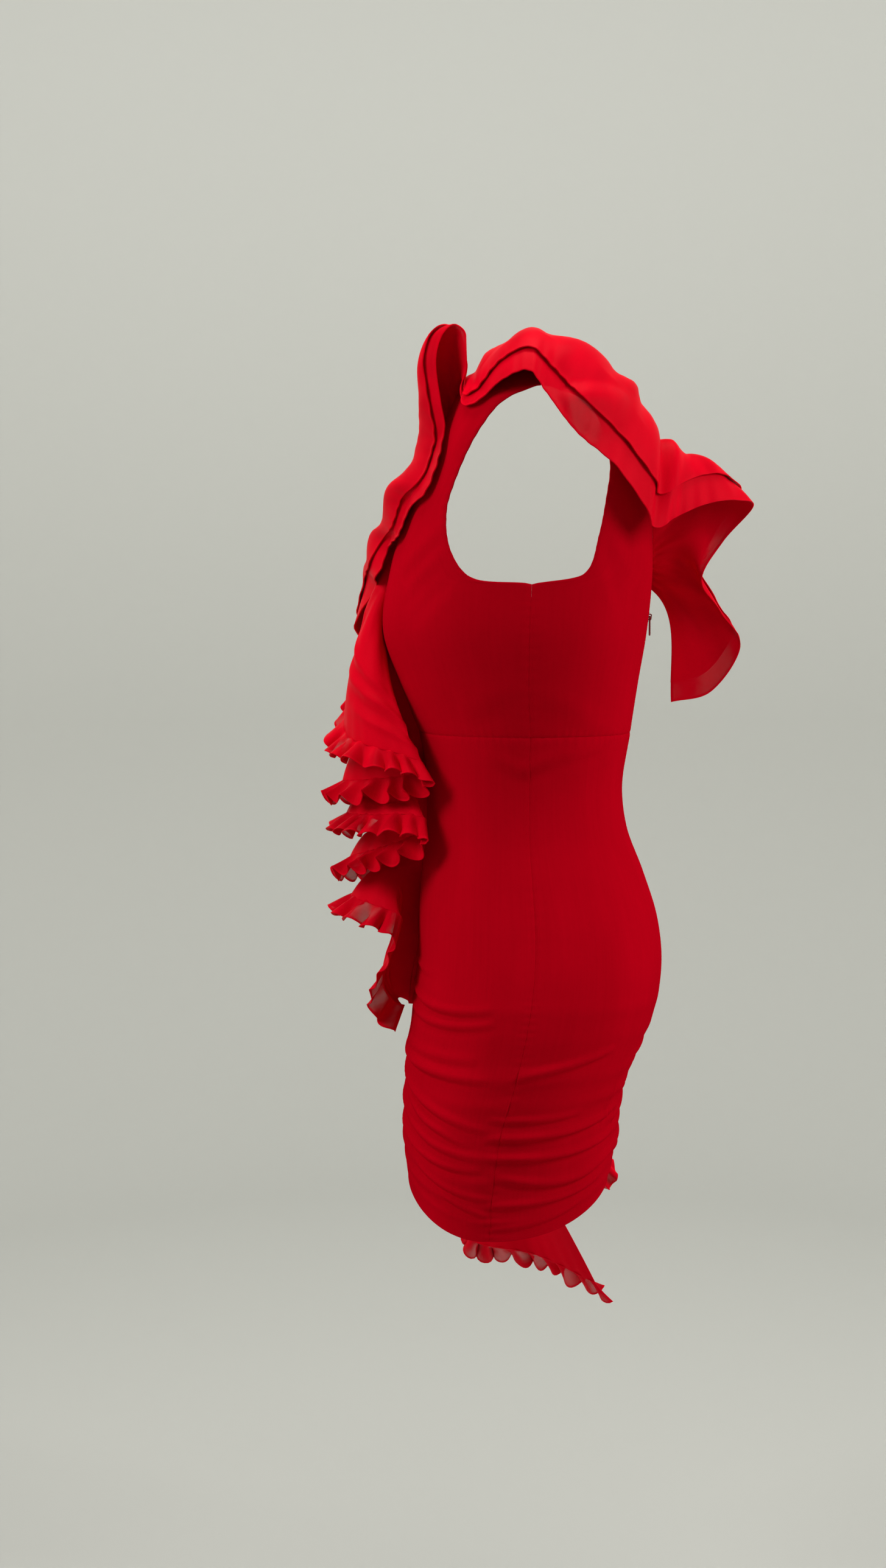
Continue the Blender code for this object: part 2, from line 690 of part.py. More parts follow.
bodice_panel("bodice_front", FRONT_RUNGS, 20, 4, 10, knit, -1.0)
bodice_panel("bodice_back_left", BACK_RUNGS, 11, 4, 9, knit, 1.0, clear_zip)
bodice_panel("bodice_back_right", RIGHT_BACK_RUNGS, 5, 5, 3, knit, -1.0, clear_zip)
skirt_panel("skirt_front", 0, 180, 18, knit)
skirt_panel("skirt_back_right", 180, 270, 9, knit, clear_zip)
skirt_panel("skirt_back_left", 270, 360, 9, knit, clear_zip)
cloth("flounce_under", flounce_grid(76, 6, False), SATIN_WALL, satin, 0.0)
cloth("flounce_upper", flounce_grid(76, 6, True), SATIN_WALL, satin, 0.0)
cascade("cascade_front", FRONT_LOBES, FRONT_SEAM_ANGLE, (0, 0.2, 0.55, 1), 6.0, satin)
frill("cascade_front_frill", FRONT_LOBES, FRONT_SEAM_ANGLE, satin)
cascade("cascade_hip", HIP_LOBES, HIP_SEAM_ANGLE, (0, 0.12, 0.4, 0.7, 1), 8.0, satin)
frill("cascade_hip_frill", HIP_LOBES, HIP_SEAM_ANGLE, satin)

zip_coil(coil_red)
slope = (zip_face(ZIP_SLIDER_HEIGHT + 5) - zip_face(ZIP_SLIDER_HEIGHT - 5)) / 10
seat = SEAM_GAP + SLIDER_DEPTH + PULL_THICKNESS / 2 + PULL_CLEARANCE
zip_hinge = np.array((0, zip_face(ZIP_SLIDER_HEIGHT) + seat, ZIP_SLIDER_HEIGHT))
zip_slider(zip_hinge, -math.atan(slope), zip_metal)
zip_pull(zip_hinge, zip_metal)
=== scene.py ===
"""Looks of the one-shoulder dress: a close red knit dress with a satin flounce, two frilled
cascades and a back zip, in its hollow worn shape."""
import math
from collections import namedtuple

import bmesh
import bpy
import numpy as np
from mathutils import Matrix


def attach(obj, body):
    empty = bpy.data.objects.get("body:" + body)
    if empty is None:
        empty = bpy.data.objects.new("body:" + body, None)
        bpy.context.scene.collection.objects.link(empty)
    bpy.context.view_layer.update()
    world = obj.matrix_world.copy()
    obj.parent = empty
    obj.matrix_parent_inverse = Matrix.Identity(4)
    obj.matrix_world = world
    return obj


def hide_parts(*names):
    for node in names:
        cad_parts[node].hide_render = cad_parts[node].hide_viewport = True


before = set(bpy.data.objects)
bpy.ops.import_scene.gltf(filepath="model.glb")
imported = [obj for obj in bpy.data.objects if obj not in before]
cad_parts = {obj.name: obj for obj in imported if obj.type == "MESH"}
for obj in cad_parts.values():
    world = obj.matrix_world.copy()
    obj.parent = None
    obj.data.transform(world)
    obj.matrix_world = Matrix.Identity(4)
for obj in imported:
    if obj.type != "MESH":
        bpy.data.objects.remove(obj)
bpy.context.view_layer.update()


# Bodice
# Three panels of smooth stretch knit, sewn at the left side, the shoulder and the centre back. The
# neckline runs from the right underarm over the left shoulder, and the armhole's edge is turned
# in. Each panel is a sheet laid on the rings of a general figure.
MM = 0.001                              # sizes are in millimetres, X to the wearer's left
HOLD = np.array((100.0, 8.0, -3.0))     # the place on the shoulder that the dress hangs from
KNIT_WALL = 1.2
SEAM_GAP = 0.3
SEAM_DIP = 0.55
SEAM_DIP_WIDTH = 1.7
PUCKER_RISE = 0.22
PUCKER_WIDTH = 7.0
PUCKER_PITCH = 8.5
PUCKER_WANDER = 0.9
PUCKER_WANDER_LENGTH = 31.0
EDGE_ROUNDING = 0.3                     # a cut edge's rounding, as a share of the wall
EDGE_BEND = math.radians(60)
EDGE_STEPS = 2

# A ring of the figure: its height, half its width, how far its front and its back lie from the
# middle, where its sides lie between them, and how square it is.
Ring = namedtuple("Ring", "height half front back side_y square")
FIGURE = [
    Ring(-800, 162, 108, 76, -38, 2.2),
    Ring(-770, 163, 110, 79, -36, 2.2),
    Ring(-720, 166, 114, 89, -32, 2.2),
    Ring(-675, 168, 112, 93, -24, 2.2),
    Ring(-640, 170, 110, 106, -14, 2.2),
    Ring(-600, 170, 105, 123, -5, 2.2),
    Ring(-555, 164, 101, 130, 2, 2.2),
    Ring(-515, 152, 100, 126, 4, 2.2),
    Ring(-470, 135, 97, 112, 2, 2.15),
    Ring(-430, 121, 92, 97, 0, 2.1),
    Ring(-395, 116, 92, 92, 0, 2.1),
    Ring(-340, 122, 99, 99, 0, 2.1),
    Ring(-290, 134, 118, 106, -2, 2.2),
    Ring(-245, 144, 133, 113, -2, 2.3),
    Ring(-190, 146, 128, 118, 0, 2.3),
    Ring(-140, 150, 114, 117, 0, 2.3),
    Ring(-100, 158, 98, 114, 2, 2.3),
    Ring(-60, 166, 82, 108, 4, 2.3),
    Ring(-38, 160, 72, 103, 6, 2.3),
    Ring(-20, 132, 64, 95, 8, 2.3),
    Ring(0, 92, 56, 84, 8, 2.3),
    Ring(14, 66, 50, 66, 8, 2.3),
]

# A crease pressed into the cloth: its two ends by angle and height, its width and rise, and how
# far its middle sags. A trough lies under each ridge, at a share of its rise.
Crease = namedtuple("Crease", "angle height to_angle to_height width rise sag", defaults=(0,))
UNDER_CREASE = 0.55
UNDER_CREASE_STEP = 1.7                 # from the ridge to its trough, in widths of the crease
CREASE_TAPER = 0.7
BODICE_CREASES = [
    Crease(36, -150, 62, -188, 9, 0.9),
    Crease(33, -168, 58, -214, 8, 0.8),
    Crease(26, -190, 50, -240, 8, -0.6),
    Crease(2, -290, 34, -318, 9, 0.6),
    Crease(-4, -300, -38, -322, 9, 0.7),
    Crease(-8, -322, -52, -330, 7, 0.6),
    Crease(60, -326, 118, -320, 8, 0.6),
    Crease(150, -300, 178, -284, 9, 0.7),
    Crease(146, -322, 176, -312, 8, 0.7),
    Crease(-30, -150, -48, -196, 9, 0.8),
    Crease(-28, -172, -42, -226, 8, -0.6),
    Crease(-150, -250, -176, -238, 8, 0.7),
    Crease(-136, -304, -172, -290, 9, 0.8),
    Crease(-100, -318, -134, -326, 8, 0.6),
    Crease(70, -90, 60, -132, 9, 0.6),
]


def smooth(stations, values, at):
    """Values on a smooth curve through the given ones, straight where they stay equal."""
    stations = np.asarray(stations, float)
    values = np.asarray(values, float)
    slopes = np.gradient(values, stations)
    flat = np.diff(values) == 0
    slopes[np.append(flat, False) | np.insert(flat, 0, False)] = 0
    at = np.clip(at, stations[0], stations[-1])
    i = np.clip(np.searchsorted(stations, at) - 1, 0, len(stations) - 2)
    step = stations[i + 1] - stations[i]
    t = (at - stations[i]) / step
    ease = t * t * (3 - 2 * t)
    start_pull = t * (1 - t) ** 2 * step * slopes[i]
    end_pull = t * t * (t - 1) * step * slopes[i + 1]
    return values[i] * (1 - ease) + values[i + 1] * ease + start_pull + end_pull


def read(table, key, at):
    """A table's row at each place, smoothly between its rows, as a row of arrays."""
    stations = [getattr(row, key) for row in table] if key else range(len(table))
    names = table[0]._fields
    columns = [[getattr(row, name) for row in table] for name in names]
    return type(table[0])(*[smooth(stations, column, at) for column in columns])


def on_figure(angle, height):
    """Points on the figure's skin. Angle 0 is its left side, 90 its front and -90 its back."""
    ring = read(FIGURE, "height", height)
    across = np.cos(np.radians(angle))
    along = np.sin(np.radians(angle))
    power = 2 / ring.square
    reach = np.where(along >= 0, ring.front + ring.side_y, ring.back - ring.side_y)
    x = np.sign(across) * np.abs(across) ** power * ring.half
    y = ring.side_y - np.sign(along) * np.abs(along) ** power * reach
    return np.stack(np.broadcast_arrays(x, y, height), axis=-1)


def unit(vectors):
    return vectors / np.maximum(np.linalg.norm(vectors, axis=-1, keepdims=True), 1e-9)


def outward(angle, height):
    round_it = on_figure(angle + 1, height) - on_figure(angle - 1, height)
    up_it = on_figure(angle, height + 2) - on_figure(angle, height - 2)
    return unit(np.cross(up_it, round_it))


def run_lengths(points, axis):
    """How far along the cloth each point lies from the first one of its row or column."""
    steps = np.linalg.norm(np.diff(points, axis=axis), axis=-1)
    return np.insert(np.cumsum(steps, axis=axis), 0, 0, axis=axis)


def edge_distances(points):
    """Each point's distance along the cloth to the four edges: first and last column and row."""
    across = run_lengths(points, 1)
    down = run_lengths(points, 0)
    return across, across[:, -1:] - across, down, down[-1:] - down


def hump(along):
    """1 in the middle of a line, and 0 at both its ends and beyond them."""
    return np.clip(4 * along * (1 - along), 0, 1)


def creased(angle, height, creases):
    """How far the creases lift the cloth at each point: soft ridges that fade at both ends."""
    rise = np.zeros(np.broadcast(angle, height).shape)
    for crease in creases:
        ring = read(FIGURE, "height", np.array((crease.height + crease.to_height) / 2))
        round_length = math.radians(1) * (ring.half + ring.front) / 2
        x = (np.mod(angle - crease.angle + 180, 360) - 180) * round_length
        y = height - crease.height
        to_x = (crease.to_angle - crease.angle) * round_length
        to_y = crease.to_height - crease.height
        length = math.hypot(to_x, to_y)
        along = (x * to_x + y * to_y) / length ** 2
        middle = hump(along)
        off = ((y + crease.sag * middle) * to_x - x * to_y) / length * math.copysign(1, to_x)
        ridge = np.exp(-(off / crease.width) ** 2)
        trough = np.exp(-(off / crease.width + UNDER_CREASE_STEP) ** 2)
        rise += crease.rise * middle ** CREASE_TAPER * (ridge - UNDER_CREASE * trough)
    return rise


def seam_relief(distance, along):
    """The dip and the small puckers beside a sewn seam."""
    dip = SEAM_DIP * np.exp(-(distance / SEAM_DIP_WIDTH) ** 2)
    wander = along / PUCKER_PITCH + PUCKER_WANDER * np.sin(along / PUCKER_WANDER_LENGTH)
    fade = np.exp(-(distance / PUCKER_WIDTH) ** 2)
    return PUCKER_RISE * fade * np.sin(2 * math.pi * wander) - dip


def placed(name, data):
    made = bpy.data.objects.new(name, data)
    bpy.context.scene.collection.objects.link(made)
    return made


def round_edges(piece, width, steps, corner):
    rounded = piece.modifiers.new("rounded", "BEVEL")
    rounded.width = width
    rounded.segments = steps
    rounded.limit_method = "ANGLE"
    rounded.angle_limit = corner


def cloth(node, points, wall, side, finish, thick=None):
    """A piece of cloth through rows of points in millimetres, with a wall and rounded edges.

    Side 1 puts the wall outside the points, 0 on both sides. Thick gives each point's share of
    the wall, where a hem is thicker than the cloth. The piece takes the place of the node.
    """
    name = node + "_cloth"
    rows, columns = points.shape[:2]
    cut = bmesh.new()
    bmesh.ops.create_grid(cut, x_segments=columns - 1, y_segments=rows - 1, size=1)
    mesh = bpy.data.meshes.new(name)
    cut.to_mesh(mesh)
    cut.free()
    mesh.vertices.foreach_set("co", ((points - HOLD) * MM).astype(np.float32).ravel())
    across = run_lengths(points, 1).mean(axis=0)
    down = run_lengths(points, 0).mean(axis=1)
    flat = np.stack(np.meshgrid(across, down), axis=-1).reshape(-1, 2) * MM
    corners = np.empty(len(mesh.loops), int)
    mesh.loops.foreach_get("vertex_index", corners)
    layer = mesh.uv_layers.new(name="cloth")
    layer.data.foreach_set("uv", flat[corners].astype(np.float32).ravel())
    edges = np.minimum.reduce(np.broadcast_arrays(*edge_distances(points)))
    border = mesh.attributes.new("border", "FLOAT", "POINT")
    border.data.foreach_set("value", edges.astype(np.float32).ravel())
    mesh.shade_smooth()
    mesh.materials.append(finish)
    piece = placed(name, mesh)
    shell = piece.modifiers.new("wall", "SOLIDIFY")
    shell.thickness = wall * MM
    shell.offset = side
    if thick is not None:
        group = piece.vertex_groups.new(name="thick")
        shares = np.round(thick, 1).ravel()
        for share in np.unique(shares):
            group.add(np.flatnonzero(shares == share).tolist(), float(share), "REPLACE")
        shell.vertex_group = "thick"
    round_edges(piece, EDGE_ROUNDING * wall * MM, EDGE_STEPS, EDGE_BEND)
    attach(piece, "dress")
    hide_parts(node)
    return piece


# The knit is dyed deep red: matt, with a soft bloom at grazing light, stitches too small to
# count and a slightly uneven dye.
KNIT_RED = (0.5, 0.0004, 0.009, 1)
KNIT_DEEP_RED = (0.42, 0.0003, 0.007, 1)
STITCH_COLUMNS = 190.0
STITCH_LOOPS = (2600, 1500)             # repeats a metre, across and down the cloth
DYE_PATCHES = (18, 7)
DYE_STREAKS = (420, 9)
STITCH_RISE = 0.00003
RED_GLEAM = (1.0, 0.012, 0.05, 1.0)


class Signal:
    """The output of one of a finish's nodes. Sums on it add Math nodes to that finish."""

    def __init__(self, finish, socket):
        self.finish = finish
        self.socket = socket

    def sum(self, operation, first, second):
        return self.finish.node("ShaderNodeMath", {"operation": operation}, {0: first, 1: second})

    def __add__(self, other):
        return self.sum("ADD", self, other)

    def __sub__(self, other):
        return self.sum("SUBTRACT", self, other)

    def __rsub__(self, other):
        return self.sum("SUBTRACT", other, self)

    def __mul__(self, other):
        return self.sum("MULTIPLY", self, other)

    __radd__ = __add__
    __rmul__ = __mul__


class Finish:
    """A material with one Principled shader, whose sockets take numbers, colours or signals."""

    def __init__(self, name, **constants):
        self.material = bpy.data.materials.new(name)
        self.material.use_nodes = True
        self.tree = self.material.node_tree
        self.shader = self.tree.nodes["Principled BSDF"]
        self.shine(**constants)

    def feed(self, node, socket, value):
        if isinstance(value, Signal):
            self.tree.links.new(value.socket, node.inputs[socket])
        else:
            node.inputs[socket].default_value = value

    def node(self, kind, settings=None, inputs=None, output=0):
        made = self.tree.nodes.new(kind)
        for name, value in (settings or {}).items():
            setattr(made, name, value)
        for socket, value in (inputs or {}).items():
            self.feed(made, socket, value)
        return Signal(self, made.outputs[output])

    def shine(self, **sockets):
        for socket, value in sockets.items():
            self.feed(self.shader, socket.replace("_", " "), value)

    def on_cloth(self, across, down):
        """Cloth coordinates stretched by the given repeats a metre, across and down."""
        flat = self.node("ShaderNodeUVMap", {"uv_map": "cloth"})
        return self.node("ShaderNodeMapping", None, {"Vector": flat, "Scale": (across, down, 1)})

    def noise(self, place, detail, scale=1.0):
        return self.node("ShaderNodeTexNoise", None,
                         {"Vector": place, "Scale": scale, "Detail": detail, "Roughness": 0.5})

    def between(self, low, high, signal):
        """The signal, stretched so that low and high become 0 and 1, and kept between them."""
        return self.node("ShaderNodeMapRange", None,
                         {"Value": signal, "From Min": low, "From Max": high})

    def mixed(self, share, first, second):
        return self.node("ShaderNodeMix", {"data_type": "RGBA"}, {0: share, 6: first, 7: second}, 2)

    def bump(self, height, distance):
        return self.node("ShaderNodeBump", None,
                         {"Height": height, "Distance": distance, "Strength": 1.0})


def knit_finish():
    knit = Finish("red_knit", Sheen_Weight=0.04, Sheen_Roughness=0.35, Sheen_Tint=RED_GLEAM,
                  Specular_IOR_Level=0.0, Specular_Tint=RED_GLEAM)
    columns = knit.node("ShaderNodeTexWave", {"wave_type": "BANDS", "bands_direction": "X"},
                        {"Vector": knit.on_cloth(1, 1), "Scale": STITCH_COLUMNS,
                         "Distortion": 0.6})
    loops = knit.noise(knit.on_cloth(*STITCH_LOOPS), 1.0)
    dye = knit.noise(knit.on_cloth(*DYE_PATCHES), 3.0)
    streaks = knit.noise(knit.on_cloth(*DYE_STREAKS), 2.0)
    tone = knit.between(0.3, 0.7, dye * 0.55 + streaks * 0.3 + loops * 0.15)
    knit.shine(Base_Color=knit.mixed(tone, KNIT_DEEP_RED, KNIT_RED))
    knit.shine(Roughness=tone * -0.08 + 0.66)
    knit.shine(Normal=knit.bump(columns * 0.3 + loops * 0.7, STITCH_RISE))
    return knit.material


red_knit = knit_finish()


# A rung joins a panel's two long edges, the armhole's and the neck's, by angle and height.
Rung = namedtuple("Rung", "arm_angle arm_height neck_angle neck_height")
FRONT_RUNGS = [
    Rung(0, -338, 180, -338),
    Rung(0, -265, 180, -268),
    Rung(0, -203, 180, -205),
    Rung(20, -198, 152, -193),
    Rung(32, -172, 126, -178),
    Rung(38, -140, 105, -160),
    Rung(38.5, -118, 90, -135),
    Rung(36, -92, 80, -95),
    Rung(30, -68, 73, -55),
    Rung(20, -47, 60, -20),
    Rung(0, -32, 0, 12),
]
BACK_RUNGS = [
    Rung(0, -338, -90, -338),
    Rung(0, -265, -90, -268),
    Rung(0, -203, -90, -212),
    Rung(-20, -193, -86, -185),
    Rung(-27, -158, -82, -155),
    Rung(-31, -125, -78, -120),
    Rung(-33, -98, -74, -85),
    Rung(-30, -72, -69, -52),
    Rung(-20, -47, -60, -20),
    Rung(0, -32, 0, 12),
]
RIGHT_BACK_RUNGS = [
    Rung(-90, -338, -90, -212),
    Rung(-112, -338, -110, -221),
    Rung(-145, -338, -140, -220),
    Rung(-180, -338, -180, -205),
]
UNDERARM = 2                            # the rung at which both side edges leave the side seams
ZIP_HALF_WIDTH = 0.7
ZIP_END = (-546.0, -524.0)              # the seam closes between these heights
TURNED_MIDDLE = 3.0                     # from a turned edge to its ridge
TURNED_WIDTH = 2.7
TURNED_RISE = 0.35
LAST_COLUMN = 1                         # the edges' places in what edge_distances gives
LAST_ROW = 3


def bodice_panel(node, rungs, columns, rows_below, rows_above, side, turned):
    """A bodice panel between its two long edges. Turned names the edges with no seam."""
    last = len(rungs) - 1
    below = np.linspace(0, UNDERARM, rows_below + 1)
    above = np.linspace(UNDERARM, last, rows_above + 1)[1:]
    lower = read(rungs[:UNDERARM + 1], None, below)
    upper = read(rungs[UNDERARM:], None, above - UNDERARM)
    rung = Rung(*[np.concatenate(pair)[:, None] for pair in zip(lower, upper)])
    share = np.linspace(0, 1, columns + 1)[None, :]
    angle = rung.arm_angle + (rung.neck_angle - rung.arm_angle) * share
    height = rung.arm_height + (rung.neck_height - rung.arm_height) * share
    base = on_figure(angle, height)
    relief = creased(angle, height, BODICE_CREASES)
    alongs = (height, height, angle * 2, angle * 2)
    for number, (distance, along) in enumerate(zip(edge_distances(base), alongs)):
        ridge = TURNED_RISE * np.exp(-((distance - TURNED_MIDDLE) / TURNED_WIDTH) ** 2)
        relief += ridge if number in turned else seam_relief(distance, along)
    points = base + outward(angle, height) * relief[..., None]
    return cloth(node, drawn_in(points), KNIT_WALL, side, red_knit)


def drawn_in(points):
    """Move the border inwards, so that neighbouring pieces stay a seam gap apart."""
    gap = SEAM_GAP / 2
    moved = points.copy()
    moved[:, 0] += unit(points[:, 1] - points[:, 0]) * gap
    moved[:, -1] += unit(points[:, -2] - points[:, -1]) * gap
    moved[0] += unit(points[1] - points[0]) * gap
    moved[-1] += unit(points[-2] - points[-1]) * gap
    keep = np.interp(moved[..., 2], ZIP_END, (gap, ZIP_HALF_WIDTH + SEAM_GAP))
    at_zip = (np.abs(moved[..., 0]) < keep) & (moved[..., 1] > 0)
    moved[..., 0][at_zip] = np.copysign(keep, points[..., 0].mean())[at_zip]
    return moved


bodice_front = bodice_panel("bodice_front", FRONT_RUNGS, columns=150, rows_below=52,
                            rows_above=96, side=-1, turned=(LAST_COLUMN,))
bodice_back_left = bodice_panel("bodice_back_left", BACK_RUNGS, columns=80, rows_below=52,
                                rows_above=96, side=1, turned=())
bodice_back_right = bodice_panel("bodice_back_right", RIGHT_BACK_RUNGS, columns=50,
                                 rows_below=60, rows_above=40, side=-1, turned=(LAST_COLUMN,))


# Skirt
# A front and two backs of the same knit, sewn to the bodice at the waist. The side seams are
# drawn up, so folds run round the hips, deepest at the right, where the seam is gathered most.

# A fold round the skirt: its height at the four sides, and its depth.
Fold = namedtuple("Fold", "left front right back depth")
SKIRT_FOLDS = [
    Fold(-577, -574, -552, -585, 1.6),
    Fold(-603, -602, -580, -612, 2.0),
    Fold(-636, -640, -606, -640, 3.4),
    Fold(-662, -664, -630, -662, 2.8),
    Fold(-687, -686, -652, -681, 3.6),
    Fold(-709, -707, -674, -700, 3.0),
    Fold(-731, -726, -694, -718, 3.4),
    Fold(-749, -742, -713, -733, 2.6),
    Fold(-766, -755, -731, -748, 2.0),
]
WAIST_HEIGHT = -338
WAIST = Fold(WAIST_HEIGHT, WAIST_HEIGHT, WAIST_HEIGHT, WAIST_HEIGHT, 0)
HIGH_HIP = Fold(-560, -556, -532, -566, 0)
HEM = Fold(-784, -768, -748, -762, 0.6)
PLAIN_STEPS = 7                         # levels above the folds
PLAIN_ROWS = 70
FOLDED_ROWS = 150
FOLD_SHARPNESS = 0.5
FOLD_SHARE = 0.45                       # the even folds' share, under the creases
RIGHT_GATHER = 0.5                      # how much deeper the folds are at the right side seam
HEM_TURN = 18.0
HEM_RIDGE_WIDTH = 2.5

# How a fold's depth changes: by how much, and how often round the body and from fold to fold.
Change = namedtuple("Change", "rise around down")
FOLD_CHANGES = [Change(0.34, 2.3, 2.4), Change(0.2, 5, -1.9)]
MEAN_FOLD = 0.72
LEAST_FOLD = 0.1

SKIRT_CREASES = [
    Crease(94, -551, 58, -556, 3.4, 2.0),
    Crease(96, -574, 16, -576, 3.4, 3.0, 8),
    Crease(96, -592, 14, -588, 3.4, 2.8, 7),
    Crease(90, -630, 18, -621, 4.0, 1.8),
    Crease(98, -642, 12, -638, 3.6, 3.0),
    Crease(98, -655, 6, -683, 3.8, 3.5, 1),
    Crease(90, -668, 14, -698, 3.2, 2.3),
    Crease(92, -683, 6, -707, 3.4, 3.0, 5),
    Crease(90, -703, 6, -719, 3.4, 3.5, 5),
    Crease(58, -727, 2, -745, 3.0, 2.4, 2),
    Crease(34, -744, 1, -761, 2.8, 1.9),
    Crease(2, -634, -40, -615, 3.4, 3.2),
    Crease(8, -672, -34, -670, 3.0, 2.0, 2),
    Crease(8, -690, -64, -679, 3.2, 3.1, 2),
    Crease(8, -706, -64, -701, 3.0, 3.4, 3),
    Crease(4, -721, -64, -718, 4.0, 3.2, 13),
    Crease(2, -751, -56, -740, 3.0, 2.3, 2),
    Crease(1, -772, -42, -756, 2.8, 1.6, 3),
    Crease(-56, -632, -50, -692, 3.4, 1.9),
    Crease(-67, -640, -60, -704, 3.6, 1.6),
    Crease(90, -596, 160, -560, 3.8, 2.7, 6),
    Crease(96, -617, 166, -584, 3.4, 2.2, 5),
    Crease(94, -650, 172, -610, 3.8, 3.2, 6),
    Crease(88, -672, 177, -634, 3.6, 3.1, 5),
    Crease(98, -690, 174, -652, 3.2, 2.3, 3),
    Crease(92, -716, 177, -674, 3.6, 3.4, 6),
    Crease(104, -736, 177, -698, 3.2, 2.6, 3),
    Crease(120, -749, 176, -722, 2.8, 1.9),
    Crease(183, -590, 232, -622, 3.6, 2.7, -3),
    Crease(183, -628, 246, -664, 3.6, 3.1, -3),
    Crease(184, -652, 240, -684, 3.2, 2.3),
    Crease(183, -676, 250, -706, 3.6, 3.1, -3),
    Crease(184, -700, 238, -728, 3.0, 2.3),
    Crease(183, -724, 228, -744, 2.8, 1.9),
    Crease(252, -612, 300, -632, 4.0, 2.0, 4),
    Crease(258, -676, 306, -690, 3.4, 2.2, 4),
    Crease(250, -728, 300, -722, 3.2, 1.9, 4),
    Crease(340, -350, 366, -368, 6.0, 1.2),
    Crease(318, -346, 344, -356, 5.0, 0.9),
    Crease(-2, -372, 24, -352, 6.0, 1.1),
    Crease(166, -380, 196, -362, 6.0, 1.1),
]


def side_value(values, angle):
    """A fold's height at an angle, eased between its heights at the four sides."""
    quarter = np.mod(angle, 360) / 90
    first = np.minimum(quarter.astype(int), 3)
    share = (1 - np.cos((quarter - first) * math.pi)) / 2
    around = np.stack([values.left, values.front, values.right, values.back, values.left])
    rows = np.arange(around.shape[1])[:, None]
    return around[first, rows] * (1 - share) + around[first + 1, rows] * share


def gather(angle):
    return 1.0 + RIGHT_GATHER * (1 - np.cos(np.radians(angle))) / 2


def skirt_levels():
    """Levels of the skirt from the waist down: a crest on each fold and a hollow between."""
    levels = []
    for step in range(PLAIN_STEPS + 1):
        share = step / PLAIN_STEPS
        levels.append(Fold(*[a * (1 - share) + b * share for a, b in zip(WAIST, HIGH_HIP)]))
    for fold, below in zip(SKIRT_FOLDS, SKIRT_FOLDS[1:] + [HEM]):
        levels.append(fold)
        levels.append(Fold(*[(a + b) / 2 for a, b in zip(fold, below)])._replace(depth=0.0))
    return levels + [HEM]


def skirt_panel(node, first_angle, last_angle, columns):
    levels = skirt_levels()
    plain = np.linspace(0, PLAIN_STEPS, PLAIN_ROWS)
    folded = np.linspace(PLAIN_STEPS, len(levels) - 1, FOLDED_ROWS)[1:]
    place = np.concatenate((plain, folded))
    level = read(levels, None, place)
    angle = np.linspace(first_angle, last_angle, columns + 1)[None, :]
    height = side_value(level, np.broadcast_to(angle, (len(place), columns + 1)))
    number = ((place - PLAIN_STEPS) / 2)[:, None]
    uneven = MEAN_FOLD
    for change in FOLD_CHANGES:
        place_in_wave = change.around * np.radians(angle) + change.down * number
        uneven = uneven + change.rise * np.sin(place_in_wave)
    crest = np.maximum(level.depth, 0)[:, None]
    crest = crest * (crest / (crest.max() + 0.01)) ** FOLD_SHARPNESS
    depth = FOLD_SHARE * crest * gather(angle) * np.maximum(uneven, LEAST_FOLD)
    relief = depth + creased(angle, height, SKIRT_CREASES)
    base = on_figure(angle, height)
    for distance, along in zip(edge_distances(base)[:3], (height, height, angle * 2)):
        relief = relief + seam_relief(distance, along)
    to_hem = edge_distances(base)[LAST_ROW]
    relief += TURNED_RISE * np.exp(-((to_hem - HEM_TURN) / HEM_RIDGE_WIDTH) ** 2)
    points = base + outward(angle, height) * relief[..., None]
    return cloth(node, drawn_in(points), KNIT_WALL, 1, red_knit)


skirt_front = skirt_panel("skirt_front", first_angle=0, last_angle=180, columns=190)
skirt_back_right = skirt_panel("skirt_back_right", first_angle=180, last_angle=270, columns=100)
skirt_back_left = skirt_panel("skirt_back_left", first_angle=270, last_angle=360, columns=100)
for panel in (skirt_front, skirt_back_right, skirt_back_left):
    wide = 0.46 if panel is skirt_front else 0.24
    wide * 0.42


# Flounce
# Two layers of bright red satin, cut as curved strips and eased onto the neckline from the right
# underarm over the left shoulder to the centre back. Their outer edges have a narrow rolled hem,
# and the satin is thin enough to show light where it hangs free at the back.

